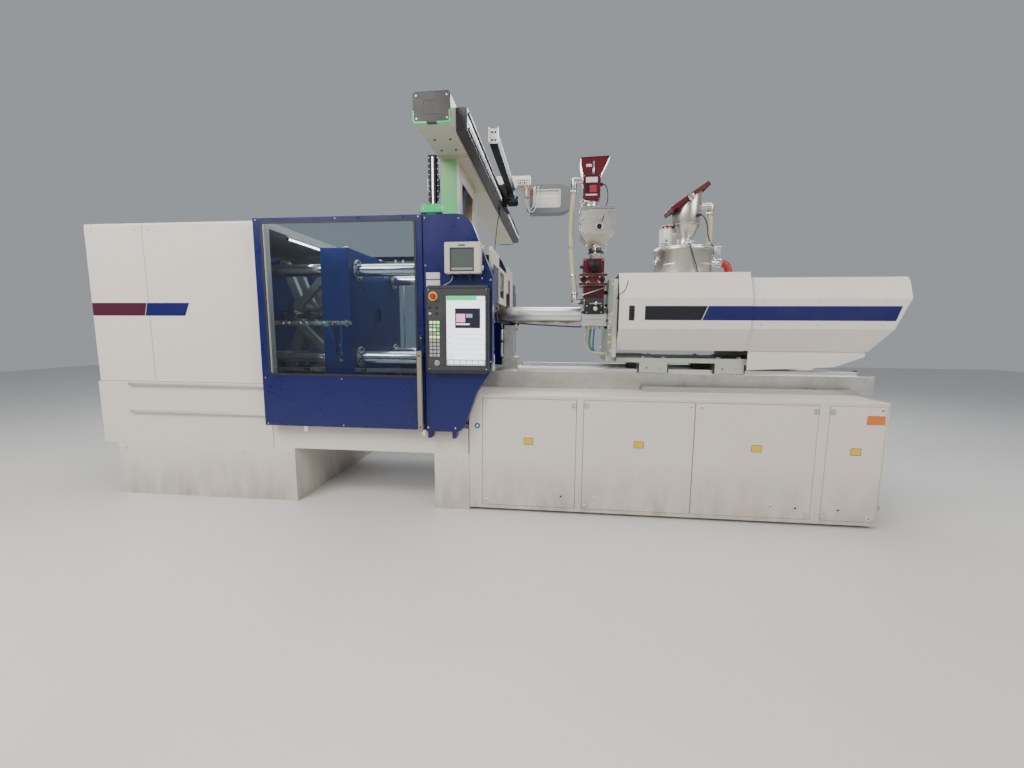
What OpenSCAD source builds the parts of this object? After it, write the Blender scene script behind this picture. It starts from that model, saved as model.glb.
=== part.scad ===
// Horizontal injection moulding machine with toggle clamp, sliding safety doors,
// plasticizing unit, two material feeds and a top-entry handling robot.
// Lengths are written in machine coordinates: X from the left end of the clamp hood,
// Y from the front of the base to the back, Z up from the floor. The last step moves
// them so that the origin lies on the floor under the middle of the fixed platen.

/* [Clamp unit] */
// Length of the clamp hood from its left end to the mould area
hood_l = 1486; // [1400:2:1500]
// Height of the top of the clamp hood above the floor
hood_h = 2131; // [2090:1:2160]
// Height of the seam between the hood and the lower panels
seam_z = 918; // [880:1:940]
// Underside of the clamp frame, the top of the conveyor space
frame_z = 423; // [400:1:440]
// Left edge of the closed safety door
door_x = 1466; // [1450:1:1475]
// Length of the safety door
door_l = 1239; // [1200:1:1240]
// Bottom of the safety door
door_z = 620; // [615:1:640]
// Height of the machine axis above the floor
axis_z = 1465; // [1455:1:1475]
// Tie bar distance across the machine, centre to centre
tie_y = 770; // [760:2:780]
// Tie bar distance up and down, centre to centre
tie_z = 700; // [690:2:710]
// Tie bar diameter
tie_d = 100; // [90:1:104]
// Mould side of the moving platen at rest
platen_x = 2020; // [2000:1:2030]

/* [Injection unit] */
// Left edge of the base cabinet
base_x = 3009; // [3009:1:3012]
// Right end of the base cabinet
base_end = 5832; // [5820:1:5860]
// Height of the ledge over the base doors
ledge_z = 878; // [870:1:890]
// Top of the injection bed
bed_z = 1010; // [1000:1:1014]
// Left end of the injection cover
cover_x = 4094; // [4090:1:4110]
// Outside radius of the barrel
barrel_r = 52; // [45:1:56]
// Diameter of the plasticizing screw
screw_d = 45; // [40:1:50]

/* [Feeding] */
// Diameter of the drum hopper
drum_d = 450; // [400:5:480]
// Width of the square feed hopper
hopper_w = 270; // [250:2:280]

/* [Robot] */
// Length of the traverse beam
beam_l = 4075; // [3900:5:4100]
// Underside of the traverse beam
beam_z = 2690; // [2680:1:2700]

/* [Hidden] */
CY = 760;
W = 1520;
OX = 2876;
sheet = 6;

cream = [0.80, 0.76, 0.69];
blue = [0.03, 0.06, 0.42];
steel = [0.62, 0.63, 0.65];
dark = [0.16, 0.17, 0.18];
wine = [0.36, 0.04, 0.07];
platen_blue = [0.05, 0.12, 0.50];

module place() translate([-OX, -CY, 0]) children();
// box from two corners
module b(x0, x1, y0, y1, z0, z1) translate([x0, y0, z0]) cube([x1 - x0, y1 - y0, z1 - z0]);
module cx(x0, x1, y, z, r, n = 64) translate([x0, y, z]) rotate([0, 90, 0]) cylinder(h = x1 - x0, r = r, $fn = n);
module cyy(x, y0, y1, z, r, n = 64) translate([x, y0, z]) rotate([-90, 0, 0]) cylinder(h = y1 - y0, r = r, $fn = n);
module cz(x, y, z0, z1, r, n = 64) translate([x, y, z0]) cylinder(h = z1 - z0, r = r, $fn = n);
// open-bottomed or open-ended sheet box: outer corners less an inner box
module shell(x0, x1, y0, y1, z0, z1, a = [0,0,0], c = [0,0,0]) difference() {
  b(x0, x1, y0, y1, z0, z1);
  b(x0 + a[0], x1 - c[0], y0 + a[1], y1 - c[1], z0 + a[2], z1 - c[2]);
}
// outline in X-Z drawn along Y from y0 to y1
module xz(pts, y0, y1) translate([0, y1, 0]) rotate([90, 0, 0]) linear_extrude(y1 - y0) polygon(pts);
// outline in Y-Z drawn along X from x0 to x1
module yz(pts, x0, x1) translate([x0, 0, 0]) rotate([90, 0, 90]) linear_extrude(x1 - x0) polygon(pts);
// rounded rectangle outline in facets
function rr(x0, x1, z0, z1, r, n = 5) = concat(
  [for (i = [0:n]) [x1 - r + r * cos(90 * i / n), z1 - r + r * sin(90 * i / n)]],
  [for (i = [0:n]) [x0 + r - r * sin(90 * i / n), z1 - r + r * cos(90 * i / n)]],
  [for (i = [0:n]) [x0 + r - r * cos(90 * i / n), z0 + r - r * sin(90 * i / n)]],
  [for (i = [0:n]) [x1 - r + r * sin(90 * i / n), z0 + r - r * cos(90 * i / n)]]);
// convex outline moved inward by d; the points run anticlockwise
function unit(v) = v / norm(v);
function lineat(p, q, d) = let (u = unit(q - p), m = [-u[1], u[0]]) [p + d * m, u];
function cross2(a, c) = a[0] * c[1] - a[1] * c[0];
function meet(l, k) = l[0] + l[1] * (cross2(k[0] - l[0], k[1]) / cross2(l[1], k[1]));
function inset(p, d) = [for (i = [0:len(p) - 1]) meet(lineat(p[(i + len(p) - 1) % len(p)], p[i], d), lineat(p[i], p[(i + 1) % len(p)], d))];

/* ---------- clamp side ---------- */
module clamp_frame() place() color(cream) difference() {
  union() {
    for (m = [0, 1]) translate([0, m * W, 0]) mirror([0, m, 0]) {
      b(sheet, base_x - 8, sheet, 150, frame_z, door_z - 2);
      // pedestal sides
      b(114, 1635, 0, 12, 0, frame_z);
      b(2743, base_x - 1, 0, 12, 0, frame_z);
      b(114, 1635, 12, 90, 0, 12);
    }
    // pedestal ends
    b(114, 126, 12, W - 12, 0, frame_z);
    b(1623, 1635, 12, W - 12, 0, frame_z);
    b(2743, 2755, 12, W - 12, 20, frame_z);
    b(base_x - 13, base_x - 1, 12, W - 12, 20, frame_z);
    b(2743, base_x - 1, 12, W - 12, 0, 20);
    // cross members
    for (x = [120, 820, 1500, 2660]) b(x, x + 200, 150, W - 150, frame_z, door_z - 20);
    // slideways under the platens
    for (y = [400, 1120]) b(240, base_x, y - 70, y + 70, door_z - 20, 700);
    for (y = [400, 1120]) b(640, 2560, y - 24, y + 24, 700, 740);
  }
  for (x = [2811, 2941]) for (y = [110, 1410]) cz(x, y, -1, 30, 11);
  for (x = [200, 1550]) for (y = [55, 1465]) cz(x, y, -1, 30, 11);
}
module lower_cover() place() color(cream) union() {
  b(0, door_x - 2, 0, sheet, frame_z, seam_z - 1);
  b(0, door_x - 2, W - sheet, W, frame_z, seam_z - 1);
  b(0, sheet, sheet, W - sheet, frame_z, seam_z - 1);
  b(sheet, door_x - 2, sheet, 60, seam_z - 7, seam_z);
  b(sheet, door_x - 2, W - 60, W - sheet, seam_z - 7, seam_z);
}
module clamp_cover() place() color(cream) difference() {
  union() {
    difference() {
      yz([[24,seam_z],[18,seam_z+6],[18,hood_h-18],[23,hood_h-6],[36,hood_h],[W-36,hood_h],[W-23,hood_h-6],[W-18,hood_h-18],[W-18,seam_z+6],[W-24,seam_z]], 0, hood_l);
      yz([[24,seam_z-1],[W-24,seam_z-1],[W-24,hood_h-20],[W-29,hood_h-10.5],[W-38,hood_h-6],[38,hood_h-6],[29,hood_h-10.5],[24,hood_h-20]], sheet, hood_l + 1);
    }
    // folded edge frame round the mouth
    difference() {
      b(hood_l - 8, hood_l, 21, W - 21, seam_z + 8, hood_h - 3);
      b(hood_l - 9, hood_l + 1, 70, W - 70, seam_z + 7, hood_h - 52);
    }
  }
  // ventilation slots in the left end
  for (i = [0:11]) b(-1, sheet + 1, 1050, 1350, 1080 + i * 24, 1090 + i * 24);
}
module door_rails() place() color(steel) for (m = [0, 1]) translate([0, m * W, 0]) mirror([0, m, 0]) {
  for (z = [903, 685]) {
    b(290, 2690, -22, -8, z - 8, z + 8);
    for (x = [330, 800, 1400]) b(x, x + 24, -8, 0, z - 6, z + 6);
  }
  for (x = [1720, 2650]) difference() { b(x, x + 30, -8, 6, door_z - 60, 915); b(x - 1, x + 31, -9, 0, door_z - 61, 660); }
}
module door_leaf(win_r) {
  x1 = door_x + door_l;
  difference() {
    union() {
      b(door_x, x1, -80, -72, door_z, 2120);
      difference() {
        b(door_x, x1, -72, -38, door_z, 2120);
        b(door_x + 8, x1 - 8, -73, -37, door_z + 8, 2112);
      }
      b(door_x + 8, x1 - 8, -72, -38, 975, 983);
      b(win_r + 14, win_r + 20, -72, -38, 983, 2112);
      // roller carriers on the guide rails
      for (x = [door_x + 110, door_x + 1070], z = [903, 685]) b(x, x + 60, -72, -24, z - 15, z + 15);
    }
    b(door_x + 69, win_r, -81, -71, 1012, 2080);
  }
}
module safety_door() place() color(blue) door_leaf(2650);
module door_glass() place() color([0.1, 0.15, 0.18, 0.5]) b(door_x + 55, 2662, -72, -66, 998, 2094);
module door_handle() place() color([0.6, 0.55, 0.45]) union() {
  b(2664, 2698, -125, -107, 617, 1192);
  for (z = [640, 1150]) b(2668, 2694, -107, -80, z, z + 26);
}
module rear_door() place() color(blue) union() {
  translate([0, W, 0]) mirror([0, 1, 0]) door_leaf(2650);
  b(2664, 2698, W + 107, W + 125, 800, 1192);
  for (z = [820, 1150]) b(2668, 2694, W + 80, W + 107, z, z + 26);
}
module rear_glass() place() color([0.1, 0.15, 0.18, 0.5]) b(door_x + 55, 2662, W + 66, W + 72, 998, 2094);
hmi_pts = [[2712,612],[2938,612],[2966,624],[2990,652],[3078,895],[3112,950],[3150,1002],[3180,1062],[3192,1120],[3192,1714],[3130,1862],[3098,1943],[3076,2000],[3052,2052],[3024,2090],[2984,2114],[2940,2120],[2712,2120]];
hmi_in = inset(hmi_pts, 8);
module hmi_cover() place() color(blue) union() {
  xz(hmi_pts, -80, -72);
  difference() {
    xz(hmi_pts, -72, sheet);
    xz(hmi_in, -73, 31);
    b(base_x - 0.5, 3400, -0.2, 20, 400, ledge_z + 0.2);
  }
  b(2720, 2745, -72, sheet, 560, 612);
  b(2900, 2925, -72, sheet, 560, 612);
  // side return towards the nozzle guard
  b(3186, 3192, sheet - 1, 228, 1540, 1796);
}
module rear_fixed_cover() place() color(blue) union() {
  xz(hmi_pts, W + 72, W + 80);
  difference() {
    xz(hmi_pts, W - sheet, W + 72);
    xz(hmi_in, W - 31, W + 73);
    b(base_x - 0.5, 3400, W - 20, W + 0.2, 400, ledge_z + 0.2);
  }
  for (x = [2720, 2900]) b(x, x + 25, W - sheet, W + 72, 560, 612);
  b(3186, 3192, W - 228, W - sheet + 1, 1540, 1796);
}
module control_panel() place() color(dark) difference() {
  xz(rr(2742, 3176, 1055, 1627, 14), -140, -80);
  b(2882, 3154, -141, -134, 1095, 1570);
  cyy(2793, -141, -120, 1566, 14);
  cyy(2815, -141, -126, 1112, 12);
  b(2755, 2844, -141, -137, 1148, 1407);
}
module touch_screen() place() color([0.75, 0.85, 0.95]) b(2884, 3152, -139, -134, 1097, 1568);
module e_stop() place() color("firebrick") union() {
  translate([2793, -158, 1566]) rotate([90, 0, 0]) cylinder(h = 14, r1 = 19, r2 = 17, $fn = 48);
  cyy(2793, -158, -126, 1566, 8, 32);
}
module key_switch() place() color(steel) union() {
  cyy(2815, -148, -141, 1112, 15, 40);
  cyy(2815, -141, -128, 1112, 11.5, 40);
  b(2812, 2818, -158, -148, 1101, 1123);
}
module aux_display() place() color([0.72, 0.68, 0.58]) union() {
  difference() {
    xz(rr(2878, 3125, 1716, 1920, 10), -150, -96);
    b(2916, 3078, -151, -146, 1730, 1882);
  }
  b(2960, 3040, -96, -80, 1760, 1870);
}
module signal_lamp() place() color([0.2, 1, 0.6]) union() {
  xz(rr(2699, 2840, 2132, 2188, 12), -74, -26);
  b(2740, 2800, -66, -34, 2120, 2132);
}
module end_guard() place() color(cream) for (m = [0, 1]) translate([0, m * W, 0]) mirror([0, m, 0]) {
  difference() {
    yz([[34, 1545],[34, 1900],[64, 1930],[454, 1930],[454, 1813],[231, 1813],[231, 1545]], 3150, 3166);
    b(3149, 3154, 74, 200, 1585, 1790);
  }
  b(2960, 3151, 34, 42, 1560, 1800);
}
module purge_guard() place() color(cream) difference() {
  union() {
    shell(3010, 3200, 232, 1180, 1540, 1812, [-1, 5, -1], [5, 5, 5]);
    for (y = [520, 994]) b(2930, 3196, y, y + 6, 1700, 1808);
  }
  // notch over the barrel guard, and windows
  b(3190, 3210, 645, 955, 1539, 1655);
  for (y = [[258, 505], [795, 940]]) b(3190, 3210, y[0], y[1], 1590, 1785);
  b(3040, 3170, 231, 238, 1590, 1785);
}
/* ---------- platens and toggle ---------- */
EAR_Z = 430;           // toggle pivots above and below the machine axis
PIV_X = 1212;          // rear toggle pivot
FPIV_X = platen_x - 320; // front toggle pivot
L1 = 380;
L2 = 500;
DX = FPIV_X - PIV_X;
A1 = acos((L1 * L1 + DX * DX - L2 * L2) / (2 * L1 * DX));
KX = PIV_X + L1 * cos(A1);   // knee
KZ = EAR_Z - L1 * sin(A1);
module tie_holes(r, x0, x1) for (y = [-1, 1], z = [-1, 1]) cx(x0, x1, CY + y * tie_y / 2, axis_z + z * tie_z / 2, r);
module fixed_platen() place() color(platen_blue) difference() {
  union() {
    b(2660, 2930, 220, 1300, 960, 1970);
    for (y = [400, 1120]) b(2670, 2920, y - 90, y + 90, 700, 960);
  }
  tie_holes(tie_d / 2 + 0.5, 2650, 2940);
  cx(2650, 2700, CY, axis_z, 80, 96);
  cx(2690, 2810, CY, axis_z, 45);
  cx(2800, 2940, CY, axis_z, 150, 96);
  for (y = [-280, 280], z = [-210, 210]) cx(2659, 2720, CY + y, axis_z + z, 10, 32);
  for (y = [-140, 140], z = [-350, 350]) cx(2659, 2720, CY + y, axis_z + z, 10, 32);
  for (y = [560, 1200]) cz(2690, y, 1900, 1971, 10, 32);
  for (y = [560, 1200]) cz(2900, y, 1900, 1971, 10, 32);
}
module moving_platen() place() color(platen_blue) difference() {
  union() {
    b(platen_x - 230, platen_x, 225, 1295, 965, 1965);
    for (y = [400, 1120]) {
      b(platen_x - 340, platen_x + 40, y - 80, y + 80, 830, 966);
      b(platen_x - 320, platen_x + 20, y - 60, y + 60, 742, 831);
    }
    // toggle ears
    for (s = [-1, 1], e = [-1, 1]) translate([0, CY + e * 85, axis_z + s * EAR_Z]) {
      translate([FPIV_X, -25, -55]) cube([platen_x - 229 - FPIV_X, 50, 110]);
      rotate([90, 0, 0]) translate([FPIV_X, 0, -25]) cylinder(h = 50, r = 54, $fn = 64);
    }
    // pivot pins
    for (s = [-1, 1]) cyy(FPIV_X, CY - 166, CY + 166, axis_z + s * EAR_Z, 25);
    // stiffening ribs
    for (y = [CY - 300, CY + 270]) b(platen_x - 300, platen_x - 229, y, y + 30, 1150, 1780);
  }
  tie_holes(tie_d / 2 + 2.5, platen_x - 400, platen_x + 60);
  b(platen_x - 231, platen_x - 120, CY - 170, CY + 170, axis_z - 170, axis_z + 170);
  for (y = [-100, 100], z = [-100, 100]) cx(platen_x - 130, platen_x + 1, CY + y, axis_z + z, 14, 32);
  cx(platen_x - 20, platen_x + 1, CY, axis_z, 62.5, 96);
  for (y = [-280, 280], z = [-210, 210]) cx(platen_x - 60, platen_x + 1, CY + y, axis_z + z, 10, 32);
  for (y = [-140, 140], z = [-350, 350]) cx(platen_x - 60, platen_x + 1, CY + y, axis_z + z, 10, 32);
}
module end_platen() place() color(platen_blue) union() {
  difference() {
    union() {
      b(880, 1100, 225, 1295, 965, 1965);
      for (y = [400, 1120]) b(890, 1090, y - 90, y + 90, 740, 965);
      for (y = [400, 1120]) b(900, 1080, y - 70, y + 70, 700, 740);
      for (s = [-1, 1]) translate([0, CY, axis_z + s * EAR_Z]) {
        translate([1099, -57, -55]) cube([PIV_X - 1099, 114, 110]);
        rotate([90, 0, 0]) translate([PIV_X, 0, -57]) cylinder(h = 114, r = 54, $fn = 64);
      }
      for (s = [-1, 1]) cyy(PIV_X, CY - 112, CY + 112, axis_z + s * EAR_Z, 25);
    }
    tie_holes(tie_d / 2 + 0.5, 870, 1110);
    cx(870, 1110, CY, axis_z, 40);
    for (y = [400, 1120]) b(880, 1110, y - 24.2, y + 24.2, 699, 740.5);
  }
  // clamp servo motor and its mounting tube
  difference() { cx(840, 880, CY, axis_z, 150); cx(830, 881, CY, axis_z, 60); }
  cx(480, 800, CY, axis_z, 125);
  difference() { cx(800, 840, CY, axis_z, 125); cx(799, 841, CY, axis_z, 60); }
  b(520, 620, CY - 50, CY + 50, axis_z + 110, axis_z + 190);
}
module tie_bars() place() color(steel) {
  for (y = [-1, 1], z = [-1, 1]) translate([0, CY + y * tie_y / 2, axis_z + z * tie_z / 2]) {
    translate([790, 0, 0]) rotate([0, 90, 0]) cylinder(h = 2215, r = tie_d / 2, $fn = 64);
    for (x = [800, 2930.2]) translate([x, 0, 0]) rotate([0, 90, 0]) difference() {
      cylinder(h = 72, r = 78, $fn = 8);
      translate([0, 0, -1]) cylinder(h = 74, r = tie_d / 2 + 0.2, $fn = 64);
    }
  }
}
module crosshead() place() color(steel) difference() {
  union() {
    b(1172, 1240, CY - 50, CY + 50, axis_z - 105, axis_z + 105);
    cx(1155, 1262, CY, axis_z, 48);
  }
  cx(1100, 1300, CY, axis_z, 31);
}
module clamp_screw() place() color(steel) union() {
  cx(802, 1690, CY, axis_z, 28);
  cx(802, 838, CY, axis_z, 45);
  for (i = [0:26]) cx(1112 + i * 21, 1120 + i * 21, CY, axis_z, 29.5);
}
module link_bar(ax, az, ang, len, ra, rk, hw, y) translate([ax, y, az]) rotate([0, -ang, 0]) difference() {
  union() {
    translate([0, 25, 0]) rotate([90, 0, 0]) cylinder(h = 50, r = ra, $fn = 64);
    translate([len, 25, 0]) rotate([90, 0, 0]) cylinder(h = 50, r = rk, $fn = 64);
    translate([0, -25, -hw]) cube([len, 50, 2 * hw]);
  }
  translate([0, 26, 0]) rotate([90, 0, 0]) cylinder(h = 52, r = 25.4, $fn = 64);
}
module rear_link(s) place() color(steel) {
  ang = atan2(s * (KZ - EAR_Z), KX - PIV_X);
  for (e = [-1, 1]) link_bar(PIV_X, axis_z + s * EAR_Z, ang, L1, 50, 44, 34, CY + e * 85);
  cyy(KX, CY - 60.5, CY + 60.5, axis_z + s * KZ, 20);
}
module rear_link_upper() rear_link(1);
module rear_link_lower() rear_link(-1);
module front_link(s) place() color(steel) {
  ang = atan2(s * (KZ - EAR_Z), KX - FPIV_X);
  for (e = [-1, 1]) link_bar(FPIV_X, axis_z + s * EAR_Z, ang, L2, 50, 42, 32, CY + e * 139);
}
module front_link_upper() front_link(1);
module front_link_lower() front_link(-1);
module ejector() place() color(steel) union() {
  b(platen_x - 225, platen_x - 195, CY - 150, CY + 150, axis_z - 150, axis_z + 150);
  for (y = [-100, 100], z = [-100, 100]) cx(platen_x - 196, platen_x - 5, CY + y, axis_z + z, 12, 32);
}

/* ---------- injection side base ---------- */
BE = base_end;
D = [[3109, 3785], [3837, 4597], [4601, 5398], [5466, base_end - 10]];
module base_frame() place() color(cream) difference() {
  union() {
    // cabinet shell: bottom, back, ends
    b(base_x, BE, 40, W - 2, 22, 34);
    b(base_x, BE, W - 10, W, 22, ledge_z - 20);
    b(base_x, base_x + 8, 40, W - 10, 34, ledge_z - 20);
    b(BE - 8, BE, 0, W - 10, 22, ledge_z - 20);
    // ledge plate
    b(base_x, BE, 0, W, ledge_z - 20, ledge_z);
    // header, sill and posts
    b(base_x, BE - 8, 0, 40, 22, 48);
    b(base_x, BE - 8, 0, 40, 852, ledge_z - 20);
    b(base_x, 3107, 0, 40, 48, 852);
    b(3787, 3835, 0, 40, 48, 852);
    b(4575, 4623, 20, 60, 48, 852);
    b(5400, 5464, 0, 40, 48, 852);
    // plinth that the cabinet stands on
    for (y = [60, W - 100]) b(base_x + 60, BE - 60, y, y + 40, 0, 22);
    for (x = [base_x + 60, 4400, BE - 100]) b(x, x + 40, 100, W - 100, 0, 22);
    // carrier beams under the bed
    for (y = [430, 1050]) b(base_x + 8, BE - 8, y, y + 40, 758, ledge_z - 20);
    // cable inlet boss
    cx(BE, BE + 20, 60, 140, 32);
  }
  cx(BE - 30, BE + 30, 60, 140, 16);
}
module base_door(i, hinge_right) place() color(cream) {
  x0 = D[i][0]; x1 = D[i][1];
  difference() {
    b(x0, x1, 0, 18, 50, 850);
    b(x0 + 3, x1 - 3, 3, 19, 53, 847);
  }
  b(x0 + 3, x1 - 3, 3, 6, 400, 440);
  hx = hinge_right ? x1 - 34 : x0 + 4;
  for (z = [70, 800]) b(hx, hx + 30, -5, 0, z, z + 34);
}
module base_door_1() base_door(0, true);
module base_door_2() base_door(1, false);
module base_door_3() base_door(2, true);
module base_door_4() base_door(3, false);
module injection_bed() place() color([0.55, 0.56, 0.55]) union() {
  difference() {
    b(3040, 6010, 425, 1095, ledge_z, bed_z);
    b(3120, 5900, 530, 990, ledge_z - 1, bed_z - 30);
    b(3400, 5800, 600, 920, bed_z - 31, bed_z + 1);
  }
  b(3160, 3300, 690, 830, bed_z, 1110);
  b(3175, 3265, 715, 805, 1110, 1385);
}
module injection_rails() place() color(steel) for (y = [460, 1020]) {
  b(3320, 5900, y, y + 40, bed_z, bed_z + 30);
}

/* ---------- injection unit ---------- */
module injection_carriage() place() color([0.52, 0.55, 0.50]) difference() {
  union() {
    b(4110, 5300, 440, 1080, 1094, 1130);
    for (x = [4287, 4861], y = [435, 995]) b(x, x + 215, y, y + 90, 1014, 1094);
    // front plate of the drive
    b(4056, 4088, 330, 1190, 1140, 1730);
    b(4060, 4120, 620, 900, 1729, COVER_T - 6);
    b(4030, 4400, 500, 1020, 1094, 1141);
    // guide rods and back plate
    for (y = [-240, 240], z = [-180, 180]) cx(4088, 5620, CY + y, axis_z + z, 28);
    b(5620, 5680, 460, 1060, 1130, 1690);
    b(5630, 5670, 700, 820, 1689, 1731);
    b(5290, 5690, 460, 1060, 1094, 1131);
    // injection servo motor
    cx(5680, 5860, CY, axis_z, 95);
  }
  for (y = [460, 1020]) b(4200, 5200, y - 1, y + 41, 1000, bed_z + 31);
  cx(4010, 4100, CY, axis_z, 59.2);
}
module barrel() place() color([0.45, 0.45, 0.46]) difference() {
  union() {
    cx(3080, 4060, CY, axis_z, barrel_r);
    cx(4050, 4100, CY, axis_z, 59);
    cx(4030, 4056, CY, axis_z, 78);
    cx(2960, 3080, CY, axis_z, 36);
    translate([2868, CY, axis_z]) rotate([0, 90, 0]) cylinder(h = 92, r1 = 14, r2 = 26, $fn = 64);
    // heater bands
    for (x = [3110, 3290, 3470, 3650]) cx(x, x + 140, CY, axis_z, barrel_r + 8);
    // cooled feed throat block
    b(3860, 4019, 690, 830, axis_z - 88, axis_z + 15);
  }
  cx(3060, 4101, CY, axis_z, screw_d / 2 + 0.4);
  cx(2860, 3061, CY, axis_z, 4, 24);
  cz(3950, CY, axis_z, axis_z + 100, 25);
}
module plasticizing_screw() place() color(steel) union() {
  cx(3140, 4790, CY, axis_z, 15);
  for (i = [0:19]) cx(3170 + i * 46, 3178 + i * 46, CY, axis_z, screw_d / 2);
  translate([3085, CY, axis_z]) rotate([0, 90, 0]) cylinder(h = 55, r1 = 3, r2 = 15, $fn = 48);
  cx(4110, 4790, CY, axis_z, 22);
}
module barrel_guard() place() color([0.75, 0.76, 0.77]) difference() {
  cx(3204, 3836, CY, axis_z, 76, 96);
  cx(3200, 3840, CY, axis_z, 71, 96);
  b(3190, 3850, CY - 90, CY + 90, axis_z - 90, axis_z - 40);
  b(3190, 3850, CY, CY + 90, axis_z - 90, axis_z + 2);
}
module drive_plate() place() color([0.4, 0.42, 0.44]) difference() {
  union() {
    b(4800, 4870, 490, 1030, axis_z - 230, axis_z + 230);
    cx(4870, 5200, CY, axis_z, 105);
    b(4900, 4990, CY - 45, CY + 45, axis_z + 90, axis_z + 165);
  }
  for (y = [-240, 240], z = [-180, 180]) cx(4790, 4880, CY + y, axis_z + z, 28.5);
}
COVER_T = 1775;
RX0 = 5042;
module half_shell() {
  yz([[560, COVER_T],[352, COVER_T],[272, 1584],[272, 1358],[381, 1194],[388, 1198],[279, 1361],[279, 1582],[357, COVER_T - 6],[560, COVER_T - 6]], cover_x, RX0 - 2);
}
module sliding_cover() place() color(cream) difference() {
  half_shell();
  b(4168, 4206, 265, 285, 1420, 1526);
  b(4282, 4728, 265, 276, 1421, 1525);
}
rear_o = [[372, 1737],[288, 1578],[288, 1362],[392, 1196],[W - 392, 1196],[W - 288, 1362],[W - 288, 1578],[W - 372, 1737]];
rear_i = inset(rear_o, 6);
end_o = [[RX0 - 10, 1150],[5890, 1150],[6008, 1358],[6107, 1584],[6124, 1700],[6118, 1737.5],[6118, 1760],[RX0 - 10, 1760]];
end_i = [[RX0 - 12, 1140],[5878, 1140],[6001, 1359],[6100, 1585],[6116, 1700],[6111, 1737.5],[6111, 1761],[RX0 - 12, 1761]];
module rear_cover() place() color(cream) {
  difference() {
    intersection() { yz(rear_o, RX0, 6130); xz(end_o, 0, W); }
    intersection() { yz(rear_i, RX0 - 5, 6130); xz(end_i, 1, W - 1); }
    b(RX0 - 1, 5800, 420, W - 420, 1190, 1203);
  }
  // top spine and back panel of the front section
  b(cover_x, RX0 - 2, 563, W - 560, COVER_T - 6, COVER_T);
  b(RX0 - 12, RX0 + 4, 600, 920, 1733, COVER_T - 5);
  translate([0, W, 0]) mirror([0, 1, 0]) half_shell();
  // skirt over the drive
  for (m = [0, 1]) translate([0, m * W, 0]) mirror([0, m, 0])
    xz([[5082, 1048],[5700, 1080],[5905, 1160],[5905, 1198],[5082, 1198]], 400, 406);
}

/* ---------- material feed ---------- */
HX = 3950;
hw = hopper_w / 2;
module feed_hopper() place() color([0.7, 0.69, 0.64]) difference() {
  union() {
    b(HX - hw, HX + hw, CY - hw, CY + hw, 2125, 2332);
    hull() { b(HX - hw, HX + hw, CY - hw, CY + hw, 2124.5, 2125); b(HX - 60, HX + 60, CY - 60, CY + 60, 2038, 2039); }
    cz(HX, CY, 1936, 2039, 55);
    b(HX - hw - 8, HX + hw + 8, CY - hw - 8, CY + hw + 8, 2324, 2332);
    cyy(HX + 10, CY - hw - 6, CY - hw, 2178, 30);
  }
  b(HX - hw + 4, HX + hw - 4, CY - hw + 4, CY + hw - 4, 2127, 2340);
  hull() { b(HX - hw + 4, HX + hw - 4, CY - hw + 4, CY + hw - 4, 2126.5, 2127.5); b(HX - 50, HX + 50, CY - 50, CY + 50, 2044, 2045); }
  cz(HX, CY, 1930, 2046, 50);
}
module hopper_loader() place() color(wine) union() {
  b(HX - hw - 10, HX + hw + 10, CY - hw - 10, CY + hw + 10, 2332, 2340);
  cz(HX - 54, CY, 2340, 2402, 62);
  b(HX - 124, HX + 16, CY - 70, CY + 70, 2402, 2604);
  // pipe elbow of the conveying hose
  cx(HX - 200, HX - 123, 700, 2560, 25);
  translate([HX - 200, 700, 2560]) sphere(r = 25, $fn = 48);
  cz(HX - 200, 700, 2480, 2560, 25);
}
module loader_head() place() color(wine) xz([[HX - 128, 2606],[HX + 18, 2606],[HX + 86, 2744],[HX - 148, 2738],[HX - 146, 2690]], CY - 74, CY + 74);
module feed_doser() place() color(wine) difference() {
  union() {
    b(HX - 90, HX + 70, 670, 850, axis_z + 16, 1615);
    b(HX - 100, HX + 70, CY - 85, CY + 85, 1615, 1715);
    b(HX - 138, HX + 90, CY - 110, CY + 110, 1715, 1735);
    cz(HX - 20, CY, 1735, 1790, 100);
    b(HX - 138, HX + 90, CY - 110, CY + 110, 1790, 1808);
    b(HX - 105, HX + 65, CY - 80, CY + 80, 1808, 1936);
    cyy(HX - 20, CY - 150, CY - 79, 1870, 45);
    // pipe elbow of the conveying hose
    cx(HX - 176, HX - 89, 700, 1585, 25);
    translate([HX - 176, 700, 1585]) sphere(r = 25, $fn = 48);
    cz(HX - 176, 700, 1585, 1660, 25);
  }
  cx(3800, 4100, CY, axis_z, barrel_r + 0.5);
  cz(HX, CY, axis_z + 10, 1940, 30);
  b(HX - 52, HX + 52, 660, 830, 1558, 1572);
}
module slide_gate() place() color(steel) difference() {
  union() {
    b(HX - 50, HX + 50, 640, 826, 1560, 1570);
    cyy(HX, 590, 640, 1565, 6, 24);
    translate([HX, 590, 1565]) sphere(r = 15, $fn = 32);
  }
  cz(HX, CY, 1555, 1575, 28);
}
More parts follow.
